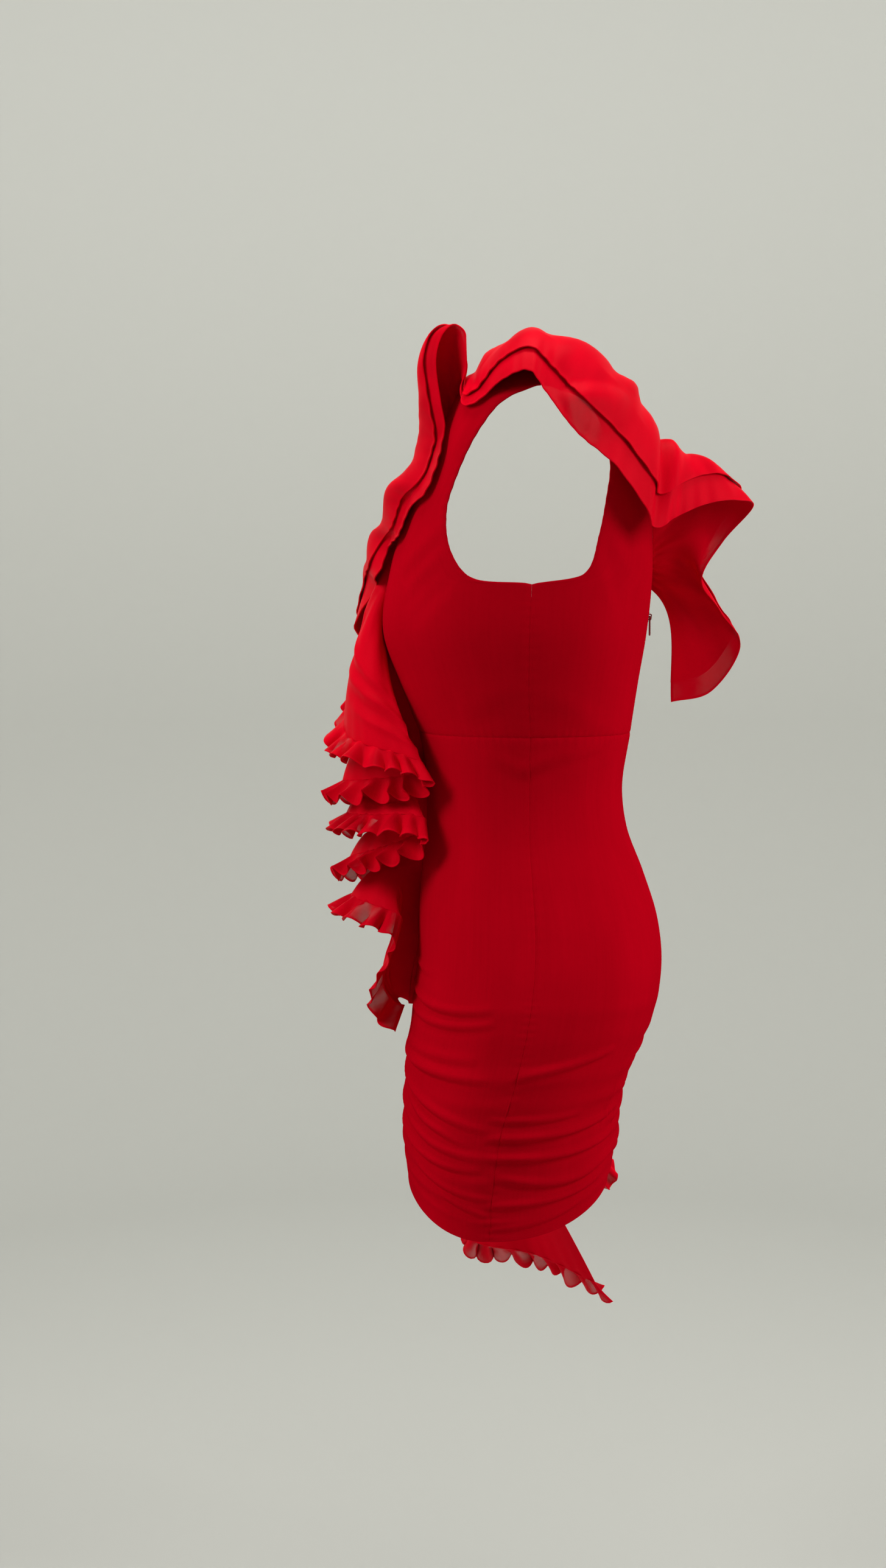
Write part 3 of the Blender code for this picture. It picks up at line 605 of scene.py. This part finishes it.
# A fold of the flounce: its place on the neckline, counted in rungs, the place of its outer edge,
# and how far its middle stands out and up.
Flute = namedtuple("Flute", "station x y z out up")
FLUTES = [
    Flute(0.0, -186, -4, -312, 20, 8),
    Flute(0.45, -166, -62, -300, 62, 10),
    Flute(0.9, -138, -124, -300, 30, 14),
    Flute(1.25, -88, -140, -262, 64, 10),
    Flute(1.7, -44, -164, -240, 32, 14),
    Flute(2.15, -6, -142, -202, 62, 12),
    Flute(2.6, 30, -140, -192, 32, 16),
    Flute(3.05, 34, -116, -166, 62, 14),
    Flute(3.6, 66, -114, -156, 30, 18),
    Flute(4.1, 72, -96, -132, 58, 18),
    Flute(4.6, 98, -88, -120, 28, 22),
    Flute(5.05, 100, -75, -96, 24, 22),
    Flute(5.45, 104, -74, -72, 24, 22),
    Flute(5.8, 104, -80, -38, 36, 20),
    Flute(6.05, 102, -84, -6, 44, 20),
    Flute(6.25, 98, -79, 18, 40, 24),
    Flute(6.4, 96, -67, 28, 30, 28),
    Flute(6.55, 97, -57, 18, 16, 28),
    Flute(6.7, 101, -57, -8, 0, 26),
    Flute(6.85, 107, -62, -29, -6, 18),
    Flute(7.05, 120, -59, -45, -6, 11),
    Flute(7.3, 140, -48, -46, -2, 18),
    Flute(7.65, 164, -28, -30, 4, 42),
    Flute(8.0, 175, -5, -23, 4, 54),
    Flute(8.35, 178, 10, -42, 6, 50),
    Flute(8.8, 170, 36, -74, 10, 44),
    Flute(9.4, 156, 72, -102, 16, 36),
    Flute(10.1, 138, 97, -134, 18, 40),
    Flute(10.7, 120, 112, -152, 18, 62),
    Flute(11.3, 102, 130, -142, 22, 82),
    Flute(11.9, 82, 160, -129, 18, 92),
    Flute(12.5, 60, 190, -124, 12, 84),
    Flute(12.9, 38, 210, -128, 8, 62),
    Flute(13.3, 26, 184, -160, 8, 34),
    Flute(13.6, 30, 164, -196, 12, 18),
    Flute(13.95, 20, 184, -226, 18, 16),
    Flute(14.2, 17, 203, -258, 22, 14),
    Flute(14.4, 16, 176, -300, 18, 8),
    Flute(14.55, 17, 138, -310, 6, 4),
]

# A soft trough or ridge down the flounce: its place among the folds, where it starts and ends
# between the seam and the hem, its width in folds and its rise.
Drape = namedtuple("Drape", "flute start end width rise")
FLOUNCE_DRAPES = [
    Drape(2.5, 0.1, 1.0, 0.5, 2.0),
    Drape(4.4, 0.0, 0.9, 0.5, -2.4),
    Drape(6.4, 0.1, 1.1, 0.5, 2.4),
    Drape(7.6, 0.0, 0.8, 0.45, -2.2),
    Drape(9.4, 0.1, 1.0, 0.5, 2.4),
    Drape(10.6, 0.0, 0.9, 0.4, -2.0),
    Drape(12.4, 0.1, 1.0, 0.5, 1.6),
    Drape(20.6, -0.2, 0.7, 0.3, -2.4),
    Drape(21.4, -0.3, 0.55, 0.28, 3.0),
    Drape(22.1, -0.2, 0.65, 0.3, -3.6),
    Drape(22.9, -0.3, 0.5, 0.25, 2.4),
    Drape(23.5, -0.3, 0.6, 0.3, -3.9),
    Drape(24.3, -0.2, 0.8, 0.4, 3.3),
    Drape(25.1, -0.3, 0.5, 0.25, -3.6),
    Drape(25.7, -0.3, 0.45, 0.25, 2.7),
    Drape(26.3, -0.2, 0.6, 0.28, -2.7),
    Drape(27.0, 0.2, 1.1, 0.5, 3.4),
    Drape(27.85, -0.1, 1.2, 0.3, -5.2),
    Drape(28.7, 0.05, 1.0, 0.45, 5.0),
    Drape(29.7, -0.1, 0.8, 0.35, -3.2),
    Drape(30.6, 0.2, 1.1, 0.45, 3.0),
    Drape(31.5, -0.1, 0.8, 0.35, -3.0),
    Drape(32.3, 0.1, 1.0, 0.35, 2.4),
    Drape(33.4, 0.0, 0.9, 0.4, -2.4),
    Drape(34.4, 0.1, 1.0, 0.4, 2.4),
    Drape(35.4, 0.0, 0.9, 0.4, -2.0),
    Drape(36.6, 0.1, 1.0, 0.4, 2.0),
]
SATIN_WALL = 1.0
THIN_SATIN = 0.55
SEWN_ON = 0.15
UPPER_SHARE = 0.84
UPPER_LIFT = 1.8
NECK_EDGE = 3.0
FLOUNCE_CLEARANCE = 7.0
CLEARANCE_SOFTNESS = 0.5
STRAIGHT_FROM = 30                      # where the soft clearance has become a straight line
FOLD_ROOM_START = 10
FOLD_ROOM_EASE = 30
ROOT_SPREAD = 23                        # evening passes, at two columns to a flute
LIFT_SPREAD = 12
FINE_COLUMNS = 13                       # columns to a flute
SOFT_TAPER = 0.8
DRAPE_HELD = 0.12                       # the share of the depth that the seam holds flat
GATHER_RISE = 0.9
GATHER_REACH = 16.0
GATHER_PITCH = 8.0
GATHER_HELD = 3.0
RIPPLE_RISE = 0.5
RIPPLE_LENGTH = 1.9
RIPPLE_SWELL = 29
RIPPLE_START = 0.8
UNDER_SWAY = 1.1                        # sets the under layer's ripples beside the upper one's
HEM_WIDTH = 2.6
HEM_EDGE = 0.6
SATIN_RED = (0.76, 0.0004, 0.014, 1)
SATIN_DEEP_RED = (0.62, 0.0003, 0.01, 1)
SATIN_THREADS = (400, 2600)
SHEER_PATCHES = (34, 20)
SHEER_FADE = (0.42, 0.62)               # the signal at which a patch starts and is full
HEM_FADE = (0.6, 3.0)                   # the same, in millimetres from the edge
SATIN_RISE = 0.00035

# How hand sewing strays along an edge: by how much, over what length and from where.
Stray = namedtuple("Stray", "rise length start", defaults=(0,))
GATHER_STRAYS = [Stray(0.8, 37), Stray(0.5, 13)]
GATHER_DEPTHS = [Stray(0.35, 23), Stray(0.3, 9.7, 1)]
MEAN_GATHER = 0.65
RIPPLE_STRAYS = [Stray(2, 17)]


def satin_finish(name, sheer, fold_scale):
    """Red satin. Sheer is how much of the light passes through its thinnest places."""
    satin = Finish(name, Sheen_Weight=0.04, Sheen_Roughness=0.3, Sheen_Tint=RED_GLEAM,
                   Specular_IOR_Level=0.025, Specular_Tint=RED_GLEAM)
    threads = satin.noise(satin.on_cloth(*SATIN_THREADS), 2.0)
    crinkle = satin.noise(satin.on_cloth(fold_scale, fold_scale * 0.5), 3.0)
    tone = satin.between(0.3, 0.7, threads * 0.4 + crinkle * 0.6)
    satin.shine(Base_Color=satin.mixed(tone, SATIN_DEEP_RED, SATIN_RED))
    satin.shine(Roughness=threads * 0.12 + 0.38)
    satin.shine(Normal=satin.bump(threads * 0.04 + crinkle * 1.2, SATIN_RISE))
    if sheer:
        patches = satin.noise(satin.on_cloth(*SHEER_PATCHES), 1.0)
        border = satin.node("ShaderNodeAttribute", {"attribute_name": "border"}, None, 2)
        off_hem = satin.between(*HEM_FADE, border)
        satin.shine(Alpha=1 - off_hem * satin.between(*SHEER_FADE, patches) * sheer)
    return satin.material


def off_figure(angle, height, out):
    return on_figure(angle, height) + outward(angle, height) * out


def strayed(along, strays):
    return sum(stray.rise * np.sin(along / stray.length + stray.start) for stray in strays)


def kept_off(points, clearance):
    """Points carried away from the figure's axis, so that they stay clear of the dress."""
    ring = read(FIGURE, "height", points[..., 2])
    middle = np.stack(np.broadcast_arrays(0.0, ring.side_y, points[..., 2]), axis=-1)
    away = points - middle
    reach = np.where(away[..., 1] < 0, ring.front + ring.side_y, ring.back - ring.side_y)
    across = np.abs(away[..., 0] / ring.half) ** (ring.square / 2)
    along = np.abs(away[..., 1] / reach) ** (ring.square / 2)
    distance = np.linalg.norm(away, axis=-1)
    skin = distance / (across ** 2 + along ** 2) ** (1 / ring.square)
    angle = np.degrees(np.arctan2(-np.copysign(along, away[..., 1]),
                                  np.copysign(across, away[..., 0])))
    skin = skin + KNIT_WALL + fold_room(angle, points[..., 2])
    spare = (distance - skin - clearance) / CLEARANCE_SOFTNESS
    eased = np.log1p(np.exp(np.minimum(spare, STRAIGHT_FROM)))
    kept = clearance + CLEARANCE_SOFTNESS * np.where(spare > STRAIGHT_FROM, spare, eased)
    return points + away * ((skin + kept) / distance - 1)[..., None]


def fold_room(angle, height):
    """Room for the skirt's folds, so that what hangs on the skirt stays clear of them."""
    below = np.clip((HIGH_HIP.right - FOLD_ROOM_START - height) / FOLD_ROOM_EASE, 0, 1)
    return max(fold.depth for fold in SKIRT_FOLDS) * gather(angle) * below


def evened(lines, passes):
    """Rows of vectors, each drawn towards its neighbours a number of times."""
    for _ in range(passes):
        padded = np.concatenate((lines[:, :1], lines, lines[:, -1:]), axis=1)
        lines = (padded[:, :-2] + 2 * padded[:, 1:-1] + padded[:, 2:]) / 4
    return lines


def flounce_curve(columns):
    """The flounce's seam, the two handles of its curve and its outer edge, column by column."""
    necks = [(rung.neck_angle, rung.neck_height) for rung in FRONT_RUNGS[UNDERARM:]]
    necks += [(rung.neck_angle, rung.neck_height) for rung in BACK_RUNGS[UNDERARM:-1][::-1]]
    angles, heights = zip(*necks)
    flute = read(FLUTES, None, np.linspace(0, len(FLUTES) - 1, columns + 1))
    angle = smooth(range(len(necks)), angles, flute.station)
    height = smooth(range(len(necks)), heights, flute.station) - NECK_EDGE
    seam = off_figure(angle, height, KNIT_WALL + SEWN_ON)
    edge = np.stack((flute.x, flute.y, flute.z), axis=-1)
    lift = outward(angle, height) * flute.out[:, None] + flute.up[:, None] * np.array((0, 0, 1))
    middle = (seam + edge) / 2 + lift
    passes = round(ROOT_SPREAD * (FINE_COLUMNS / 2) ** 2)
    root = seam + evened((middle - seam)[None], passes)[0] * 2 / 3
    return seam, root, (edge + 2 * middle) / 3, edge


def normals_of(points):
    return unit(np.cross(np.gradient(points, axis=0), np.gradient(points, axis=1)))


def draped(place, share):
    """How far the drapes lift the flounce at each point: soft folds that fade at both ends."""
    rise = np.zeros(np.broadcast(place, share).shape)
    for drape in FLOUNCE_DRAPES:
        along = (share - drape.start) / (drape.end - drape.start)
        taper = hump(along) ** SOFT_TAPER
        held = np.clip(share / DRAPE_HELD, 0, 1)
        rise += drape.rise * taper * held * np.exp(-((place - drape.flute) / drape.width) ** 2)
    return rise


def rolled(points, hem, edge):
    """Each point's share of a double wall: the whole of it in the rolled hem, half elsewhere."""
    to_hem = edge_distances(points)[LAST_ROW]
    return 0.5 + 0.5 * np.clip((hem - to_hem) / edge, 0, 1)


def flounce_layer(node, rows, upper, finish):
    """One layer. The upper one is lifted off the under one, and stops short of its edge."""
    columns = FINE_COLUMNS * (len(FLUTES) - 1)
    seam, root, tip, edge = flounce_curve(columns)
    reach = UPPER_SHARE if upper else 1.0
    t = np.linspace(0, reach, rows)[:, None, None]
    near_seam = seam * (1 - t) ** 3 + root * 3 * t * (1 - t) ** 2
    base = near_seam + tip * 3 * t * t * (1 - t) + edge * t ** 3
    clearance = SEWN_ON + FLOUNCE_CLEARANCE * t[1:, :, 0]
    base = np.concatenate((base[:1], kept_off(base[1:], clearance)))
    if upper:
        lift = evened(normals_of(base), round(LIFT_SPREAD * (FINE_COLUMNS / 2) ** 2))
        base = base + unit(lift) * (SATIN_WALL + (SEAM_GAP + UPPER_LIFT) * t)
    from_seam = run_lengths(base, 0)
    along = run_lengths(base, 1)[0][None, :]
    share = t[..., 0]
    sewn = 2 * math.pi * (along / GATHER_PITCH + strayed(along, GATHER_STRAYS))
    depth = GATHER_RISE * (MEAN_GATHER + strayed(along, GATHER_DEPTHS))
    gathers = depth * np.sin(sewn) * np.exp(-from_seam / GATHER_REACH)
    gathers = gathers * np.minimum(from_seam / GATHER_HELD, 1)
    place = np.linspace(0, len(FLUTES) - 1, columns + 1)[None, :]
    drape = draped(place, share)
    sway = 0 if upper else UNDER_SWAY
    near_hem = np.clip((share / reach - RIPPLE_START) / (1 - RIPPLE_START), 0, 1)
    ripple = np.sin(along / RIPPLE_LENGTH + strayed(along, RIPPLE_STRAYS) + sway)
    ripple = RIPPLE_RISE * ripple * np.sin(along / RIPPLE_SWELL + sway) * near_hem
    points = base + normals_of(base) * (gathers + drape + ripple)[..., None]
    thick = rolled(points, HEM_WIDTH, HEM_EDGE)
    return cloth(node, points, 2 * THIN_SATIN, 0, finish, thick)


flounce_satin = satin_finish("flounce_satin", sheer=0.16, fold_scale=18)
flounce_under = flounce_layer("flounce_under", rows=56, upper=False, finish=flounce_satin)
flounce_upper = flounce_layer("flounce_upper", rows=50, upper=True, finish=flounce_satin)


# Cascades
# Long curved strips of the same satin that fall in turns from a seam: one from the centre front
# and one from the right side seam. Each outer edge carries a narrow gathered frill.

# A turn of a cascade: the height of the seam it hangs from, and the place of its outer edge.
Lobe = namedtuple("Lobe", "seam_height x y z")
FRONT_LOBES = [
    Lobe(-160, -46, -146, -236),
    Lobe(-178, -36, -160, -290),
    Lobe(-200, 0, -172, -336),
    Lobe(-220, 42, -152, -348),
    Lobe(-238, 68, -114, -357),
    Lobe(-252, 76, -95, -366),
    Lobe(-264, 62, -112, -376),
    Lobe(-278, 34, -148, -382),
    Lobe(-292, 0, -174, -386),
    Lobe(-303, -36, -146, -391),
    Lobe(-312, -48, -124, -397),
    Lobe(-322, -46, -122, -408),
    Lobe(-333, -30, -146, -413),
    Lobe(-344, 0, -170, -416),
    Lobe(-353, 38, -148, -415),
    Lobe(-362, 66, -112, -412),
    Lobe(-371, 76, -93, -417),
    Lobe(-381, 66, -106, -432),
    Lobe(-392, 36, -142, -448),
    Lobe(-403, 0, -167, -459),
    Lobe(-414, -32, -144, -466),
    Lobe(-423, -45, -122, -473),
    Lobe(-433, -43, -120, -486),
    Lobe(-443, -28, -142, -492),
    Lobe(-454, 0, -166, -496),
    Lobe(-466, 32, -144, -501),
    Lobe(-480, 46, -118, -510),
    Lobe(-506, 44, -120, -530),
    Lobe(-540, 38, -131, -558),
    Lobe(-574, 32, -134, -580),
    Lobe(-594, 22, -124, -597),
    Lobe(-601, 14, -114, -602),
]
HIP_LOBES = [
    Lobe(-556, -198, 24, -628),
    Lobe(-580, -226, -12, -684),
    Lobe(-600, -214, -52, -712),
    Lobe(-612, -210, -56, -742),
    Lobe(-634, -230, 10, -770),
    Lobe(-656, -198, 84, -796),
    Lobe(-666, -192, 88, -826),
    Lobe(-684, -230, 24, -858),
    Lobe(-702, -210, -40, -882),
    Lobe(-710, -206, -42, -908),
    Lobe(-724, -224, 24, -928),
    Lobe(-738, -190, 88, -948),
]

# A soft fold across a cascade: its share of the depth, the turns it runs between, its width and
# its rise.
Wrinkle = namedtuple("Wrinkle", "share start end width rise")
WRINKLE_SLANT = 0.12
CASCADE_WRINKLES = [
    Wrinkle(0.5, 0.8, 4.2, 0.03, 1.8),
    Wrinkle(0.59, 1.2, 4.8, 0.028, -1.6),
    Wrinkle(0.68, 1.6, 5.2, 0.026, 2.4),
    Wrinkle(0.77, 2.0, 5.4, 0.028, -1.8),
    Wrinkle(0.87, 2.4, 5.6, 0.026, 2.0),
    Wrinkle(0.66, 7.0, 9.6, 0.035, 1.8),
    Wrinkle(0.8, 12.6, 15.4, 0.035, -1.8),
    Wrinkle(0.7, 18.2, 21.0, 0.035, 1.8),
    Wrinkle(0.55, 25.6, 29.6, 0.035, 2.0),
    Wrinkle(0.75, 26.0, 30.0, 0.035, -1.8),
]
FRONT_SEAM_ANGLE = 88.0
HIP_SEAM_ANGLE = 180.0
CASCADE_CLEARANCE = 5.0
BELLY = 9.0                             # how far a cascade's middle stands off its straight line
SEWN_IN = 0.6                           # how deep a cascade's seam lies in the knit
LOBE_STEPS = 40
PANEL_STEP = 4                          # a panel takes each fourth column of its frill
EDGE_RIPPLE = 0.5
PANEL_WAVE = 0.9
PANEL_WAVE_LENGTH = 3.1
PANEL_STRAYS = [Stray(1.2, 2.3)]
FRILL_WIDTH = 24.0
FRILL_START = -1.5                      # the frill starts inside the cascade's edge
FRILL_PITCH = 18.5
FRILL_SWING = 6.6
FRILL_CURL = 4.6
FRILL_DROP = 1.0
FRILL_ROOT = 0.02                       # keeps a little of the wave where the frill is sewn on
WAVE_WIDENING = 0.9
CURL_WIDENING = 1.5
FRILL_DEPTHS = [Stray(0.32, 1 / 2.4), Stray(0.24, 1 / 0.9, 1)]
FRILL_STRAYS = [Stray(0.15, 1 / 1.7), Stray(0.12, 1 / 0.61)]
SMALL_WAVE = 0.16                       # a second, quicker wave, as a share of the first
SMALL_STRAYS = [Stray(1.3, 1 / 0.8)]
FRILL_FLIP = 2.4
FLIP_START = 0.8
FRILL_HEM = 1.6
FRILL_HEM_EDGE = 0.5
WAVE_COLUMNS = 16                       # columns to a wave of the frill
FRILL_SATIN = 0.4


def cascade_lines(lobes, seam_angle):
    """The seam and the outer edge of a cascade, and each column's place in the frill's waves."""
    place = np.linspace(0, len(lobes) - 1, LOBE_STEPS * len(lobes) + 1)
    lobe = read(lobes, None, place)
    seam = off_figure(seam_angle, lobe.seam_height, KNIT_WALL - SEWN_IN)
    edge = kept_off(np.stack((lobe.x, lobe.y, lobe.z), axis=-1), CASCADE_CLEARANCE)
    lengths = run_lengths(edge, 0)
    waves = round(lengths[-1] / FRILL_PITCH)
    marks = np.linspace(0, lengths[-1], WAVE_COLUMNS * waves + 1)
    seam, edge = [np.stack([np.interp(marks, lengths, line[:, axis]) for axis in range(3)], axis=1)
                  for line in (seam, edge)]
    return seam, edge, np.linspace(0, waves, len(marks)), np.interp(marks, lengths, place)


def cascade_points(seam, edge, share, sag, seam_angle):
    share = share[:, None, None]
    points = seam * (1 - share) + edge * share
    middle = hump(share)
    points = points + middle * BELLY * outward(seam_angle, seam[:, 2])
    points[..., 2] += sag * middle[..., 0]
    clearance = SEWN_ON + CASCADE_CLEARANCE * share[..., 0]
    held = kept_off(points, clearance)
    inner = (share > 0) & (share < 1)
    return np.where(inner, held, points)


def wrinkled(place, share):
    """Soft folds that lie across a cascade, at a share of its depth from one turn to another."""
    rise = np.zeros(np.broadcast(place, share).shape)
    for wrinkle in CASCADE_WRINKLES:
        along = (place - wrinkle.start) / (wrinkle.end - wrinkle.start)
        taper = hump(along) ** SOFT_TAPER
        off = share - wrinkle.share - WRINKLE_SLANT * (along - 0.5)
        rise += wrinkle.rise * taper * np.exp(-(off / wrinkle.width) ** 2)
    return rise


def cascade(node, lobes, seam_angle, rows, sag, finish):
    lines = cascade_lines(lobes, seam_angle)
    seam, edge, wave, place = [line[::PANEL_STEP] for line in lines]
    share = np.linspace(0, 1, rows)
    base = cascade_points(seam, edge, share, sag, seam_angle)
    depth = share[:, None]
    small = EDGE_RIPPLE * np.sin(2 * math.pi * wave) * depth ** 6
    soft = PANEL_WAVE * np.sin(2 * math.pi * wave / PANEL_WAVE_LENGTH + strayed(wave, PANEL_STRAYS))
    relief = small + soft * np.sin(math.pi * depth) + wrinkled(place, depth)
    points = base + normals_of(base) * relief[..., None]
    return cloth(node, points, THIN_SATIN, 0, finish)


def frill(node, lobes, seam_angle, rows, finish):
    """The narrow gathered frill. Its waves are flat where the edge turns, and curl at the hem."""
    seam, edge, wave, _ = cascade_lines(lobes, seam_angle)
    along = unit(np.gradient(edge, axis=0))
    out = unit(unit((edge - seam) * (1, 1, 0)) + (0, 0, -FRILL_DROP))
    swing = unit(np.cross(along, out))
    level = np.linalg.norm(along[:, :2], axis=1)
    uneven = 1 + strayed(wave, FRILL_DEPTHS)
    phase = 2 * math.pi * (wave + strayed(wave, FRILL_STRAYS))
    share = np.linspace(0, 1, rows)[:, None]
    wide = FRILL_START + (FRILL_WIDTH - FRILL_START) * share
    small = SMALL_WAVE * np.sin(2 * phase + strayed(wave, SMALL_STRAYS))
    widening = np.maximum(share, FRILL_ROOT) ** WAVE_WIDENING
    wave_rise = FRILL_SWING * level * uneven * (np.sin(phase) + small) * widening
    curl = FRILL_CURL * level * uneven * np.cos(phase) * share ** CURL_WIDENING
    flip = FRILL_FLIP * share ** 2 * np.sin(phase + FLIP_START) * level
    across = wave_rise[..., None] * swing + curl[..., None] * along
    points = edge + out * wide[..., None] + across
    points[..., 2] += flip
    thick = rolled(points, FRILL_HEM, FRILL_HEM_EDGE)
    return cloth(node, points, 2 * FRILL_SATIN, 0, finish, thick)


cascade_satin = satin_finish("cascade_satin", sheer=0, fold_scale=18)
frill_satin = satin_finish("frill_satin", sheer=0.34, fold_scale=14)
cascade_front = cascade("cascade_front", FRONT_LOBES, FRONT_SEAM_ANGLE, rows=56, sag=6.0,
                        finish=cascade_satin)
frill_front = frill("cascade_front_frill", FRONT_LOBES, FRONT_SEAM_ANGLE, rows=10,
                    finish=frill_satin)
cascade_hip = cascade("cascade_hip", HIP_LOBES, HIP_SEAM_ANGLE, rows=26, sag=8.0,
                      finish=cascade_satin)
frill_hip = frill("cascade_hip_frill", HIP_LOBES, HIP_SEAM_ANGLE, rows=10, finish=frill_satin)


# Zip
# A hidden zip in the centre back. Its coil lies between the two back edges, so only the line, the
# painted slider and the teardrop pull tab show.
METAL_ROUNDING = 0.00018
METAL_STEPS = 3
METAL_CORNER = math.radians(30)
FLAT_ENOUGH = math.radians(2)
PAINT_WORN = (0.24, 0.003, 0.01, 1)
PAINT_RED = (0.4, 0.012, 0.02, 1)
PAINT_SPECKS = 900
COIL_DARK = (0.14, 0.0003, 0.004, 1)
COIL_RED = (0.3, 0.0005, 0.008, 1)
COIL_TEETH = 330.0
COIL_RISE = 0.0003
OBJECT_PLACE = 3                        # the output that gives a point's place on its piece


def painted_finish():
    paint = Finish("painted_zip_metal", Metallic=0.35)
    place = paint.node("ShaderNodeTexCoord", None, None, OBJECT_PLACE)
    tone = paint.between(0.35, 0.75, paint.noise(place, 3.0, PAINT_SPECKS))
    paint.shine(Base_Color=paint.mixed(tone, PAINT_WORN, PAINT_RED))
    paint.shine(Roughness=tone * 0.2 + 0.28)
    return paint.material


def coil_finish():
    coil = Finish("zip_coil_nylon", Roughness=0.5, Specular_IOR_Level=0.05)
    place = coil.node("ShaderNodeTexCoord", None, None, OBJECT_PLACE)
    teeth = coil.node("ShaderNodeTexWave", {"wave_type": "BANDS", "bands_direction": "Z"},
                      {"Vector": place, "Scale": COIL_TEETH})
    coil.shine(Base_Color=coil.mixed(teeth, COIL_DARK, COIL_RED))
    coil.shine(Normal=coil.bump(teeth, COIL_RISE))
    return coil.material


def rounded_copy(node, finish, body):
    """The solid's own shape with its edges rounded."""
    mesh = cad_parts[node].data.copy()
    shape = bmesh.new()
    shape.from_mesh(mesh)
    bmesh.ops.remove_doubles(shape, verts=shape.verts, dist=0.00001)
    bmesh.ops.dissolve_limit(shape, angle_limit=FLAT_ENOUGH, verts=shape.verts, edges=shape.edges)
    shape.to_mesh(mesh)
    shape.free()
    mesh.materials.clear()
    mesh.materials.append(finish)
    mesh.shade_smooth()
    piece = placed(node + "_metal", mesh)
    round_edges(piece, METAL_ROUNDING, METAL_STEPS, METAL_CORNER)
    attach(piece, body)
    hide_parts(node)


painted_metal = painted_finish()
rounded_copy("zip_slider", painted_metal, "dress")
rounded_copy("zip_pull", painted_metal, "zip_pull")
coil_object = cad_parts["zip_coil"]
coil_object.data.materials.clear()
coil_object.data.materials.append(coil_finish())


# Studio
# A round room whose pale floor bends up into a pale wall, so that every side of the dress has the
# same quiet ground. Soft light falls from above and from both sides, and more on the wall behind.
FLOOR_HEIGHT = -1.34
ROOM_MIDDLE = (-0.1, 0.0, 0.0)
ROOM_RADIUS = 2.7
BEND = 0.9
WALL_TOP = 2.4
BEND_STEPS = 16
ROUND_STEPS = 96
PALE = (0.5, 0.507, 0.477, 1)
DRESS_MIDDLE = (-0.1, 0.0, -0.4)
WALL_BEHIND = (-2.8, 0.0, -0.5)
DIM_SKY = (0.9, 0.95, 1.0, 1)
SKY_STRENGTH = 0.08
CAMERA_PLACE = (1.650, -0.0857, -0.2483)
CAMERA_DIP = math.radians(4.5)
SENSOR_HEIGHT = 36
LENS = 42.02


def backdrop():
    middle_x = ROOM_MIDDLE[0]
    profile = [(middle_x, FLOOR_HEIGHT)]
    for step in range(BEND_STEPS + 1):
        turn = math.radians(90 * step / BEND_STEPS)
        x = middle_x - ROOM_RADIUS + BEND - BEND * math.sin(turn)
        profile.append((x, FLOOR_HEIGHT + BEND - BEND * math.cos(turn)))
    profile.append((middle_x - ROOM_RADIUS, WALL_TOP))
    shape = bmesh.new()
    corners = [shape.verts.new((x, 0, z)) for x, z in profile]
    rim = [shape.edges.new(pair) for pair in zip(corners, corners[1:])]
    bmesh.ops.spin(shape, geom=corners + rim, cent=ROOM_MIDDLE, axis=(0, 0, 1), angle=2 * math.pi,
                   steps=ROUND_STEPS, use_merge=True)
    bmesh.ops.remove_doubles(shape, verts=shape.verts, dist=0.0001)
    bmesh.ops.recalc_face_normals(shape, faces=shape.faces)
    mesh = bpy.data.meshes.new("backdrop")
    shape.to_mesh(mesh)
    shape.free()
    mesh.shade_smooth()
    mesh.materials.append(Finish("pale_paint", Base_Color=PALE, Roughness=0.85,
                                 Specular_IOR_Level=0.2).material)
    placed("backdrop", mesh)


def softbox(name, place, target, size, power, colour):
    light = bpy.data.lights.new(name, "AREA")
    light.shape = "RECTANGLE"
    light.size, light.size_y = size
    light.energy = power
    light.color = colour
    box = placed(name, light)
    box.location = place
    toward = np.array(target) - np.array(place)
    across = math.hypot(toward[0], toward[1])
    tilt = math.atan2(across, -toward[2])
    box.rotation_euler = (tilt, 0, math.atan2(-toward[0], toward[1]))


backdrop()
softbox("ceiling_light", place=(0.4, 0.2, 1.7), target=DRESS_MIDDLE, size=(1.1, 1.1), power=8,
        colour=(1.0, 0.98, 0.95))
softbox("front_side_light", place=(0.6, -1.7, 0.7), target=DRESS_MIDDLE, size=(0.8, 1.2), power=24,
        colour=(1.0, 0.98, 0.96))
softbox("back_side_light", place=(0.5, 1.8, 0.5), target=DRESS_MIDDLE, size=(0.8, 1.2), power=27,
        colour=(1.0, 0.99, 0.97))
softbox("wall_light", place=(-0.3, 0.0, 1.9), target=WALL_BEHIND, size=(2.2, 0.8), power=62,
        colour=(1.0, 0.99, 0.96))
world = bpy.data.worlds.new("studio")
world.use_nodes = True
sky = world.node_tree.nodes["Background"]
sky.inputs["Color"].default_value = DIM_SKY
sky.inputs["Strength"].default_value = SKY_STRENGTH
bpy.context.scene.world = world
bpy.context.scene.view_settings.view_transform = "Standard"

lens = bpy.data.cameras.new("camera")
lens.sensor_fit = "VERTICAL"
lens.sensor_height = SENSOR_HEIGHT
lens.lens = LENS
lens.clip_start = 0.01
camera = placed("camera", lens)
camera.location = CAMERA_PLACE
camera.rotation_euler = (math.radians(90) - CAMERA_DIP, 0, math.radians(90))
bpy.context.scene.camera = camera
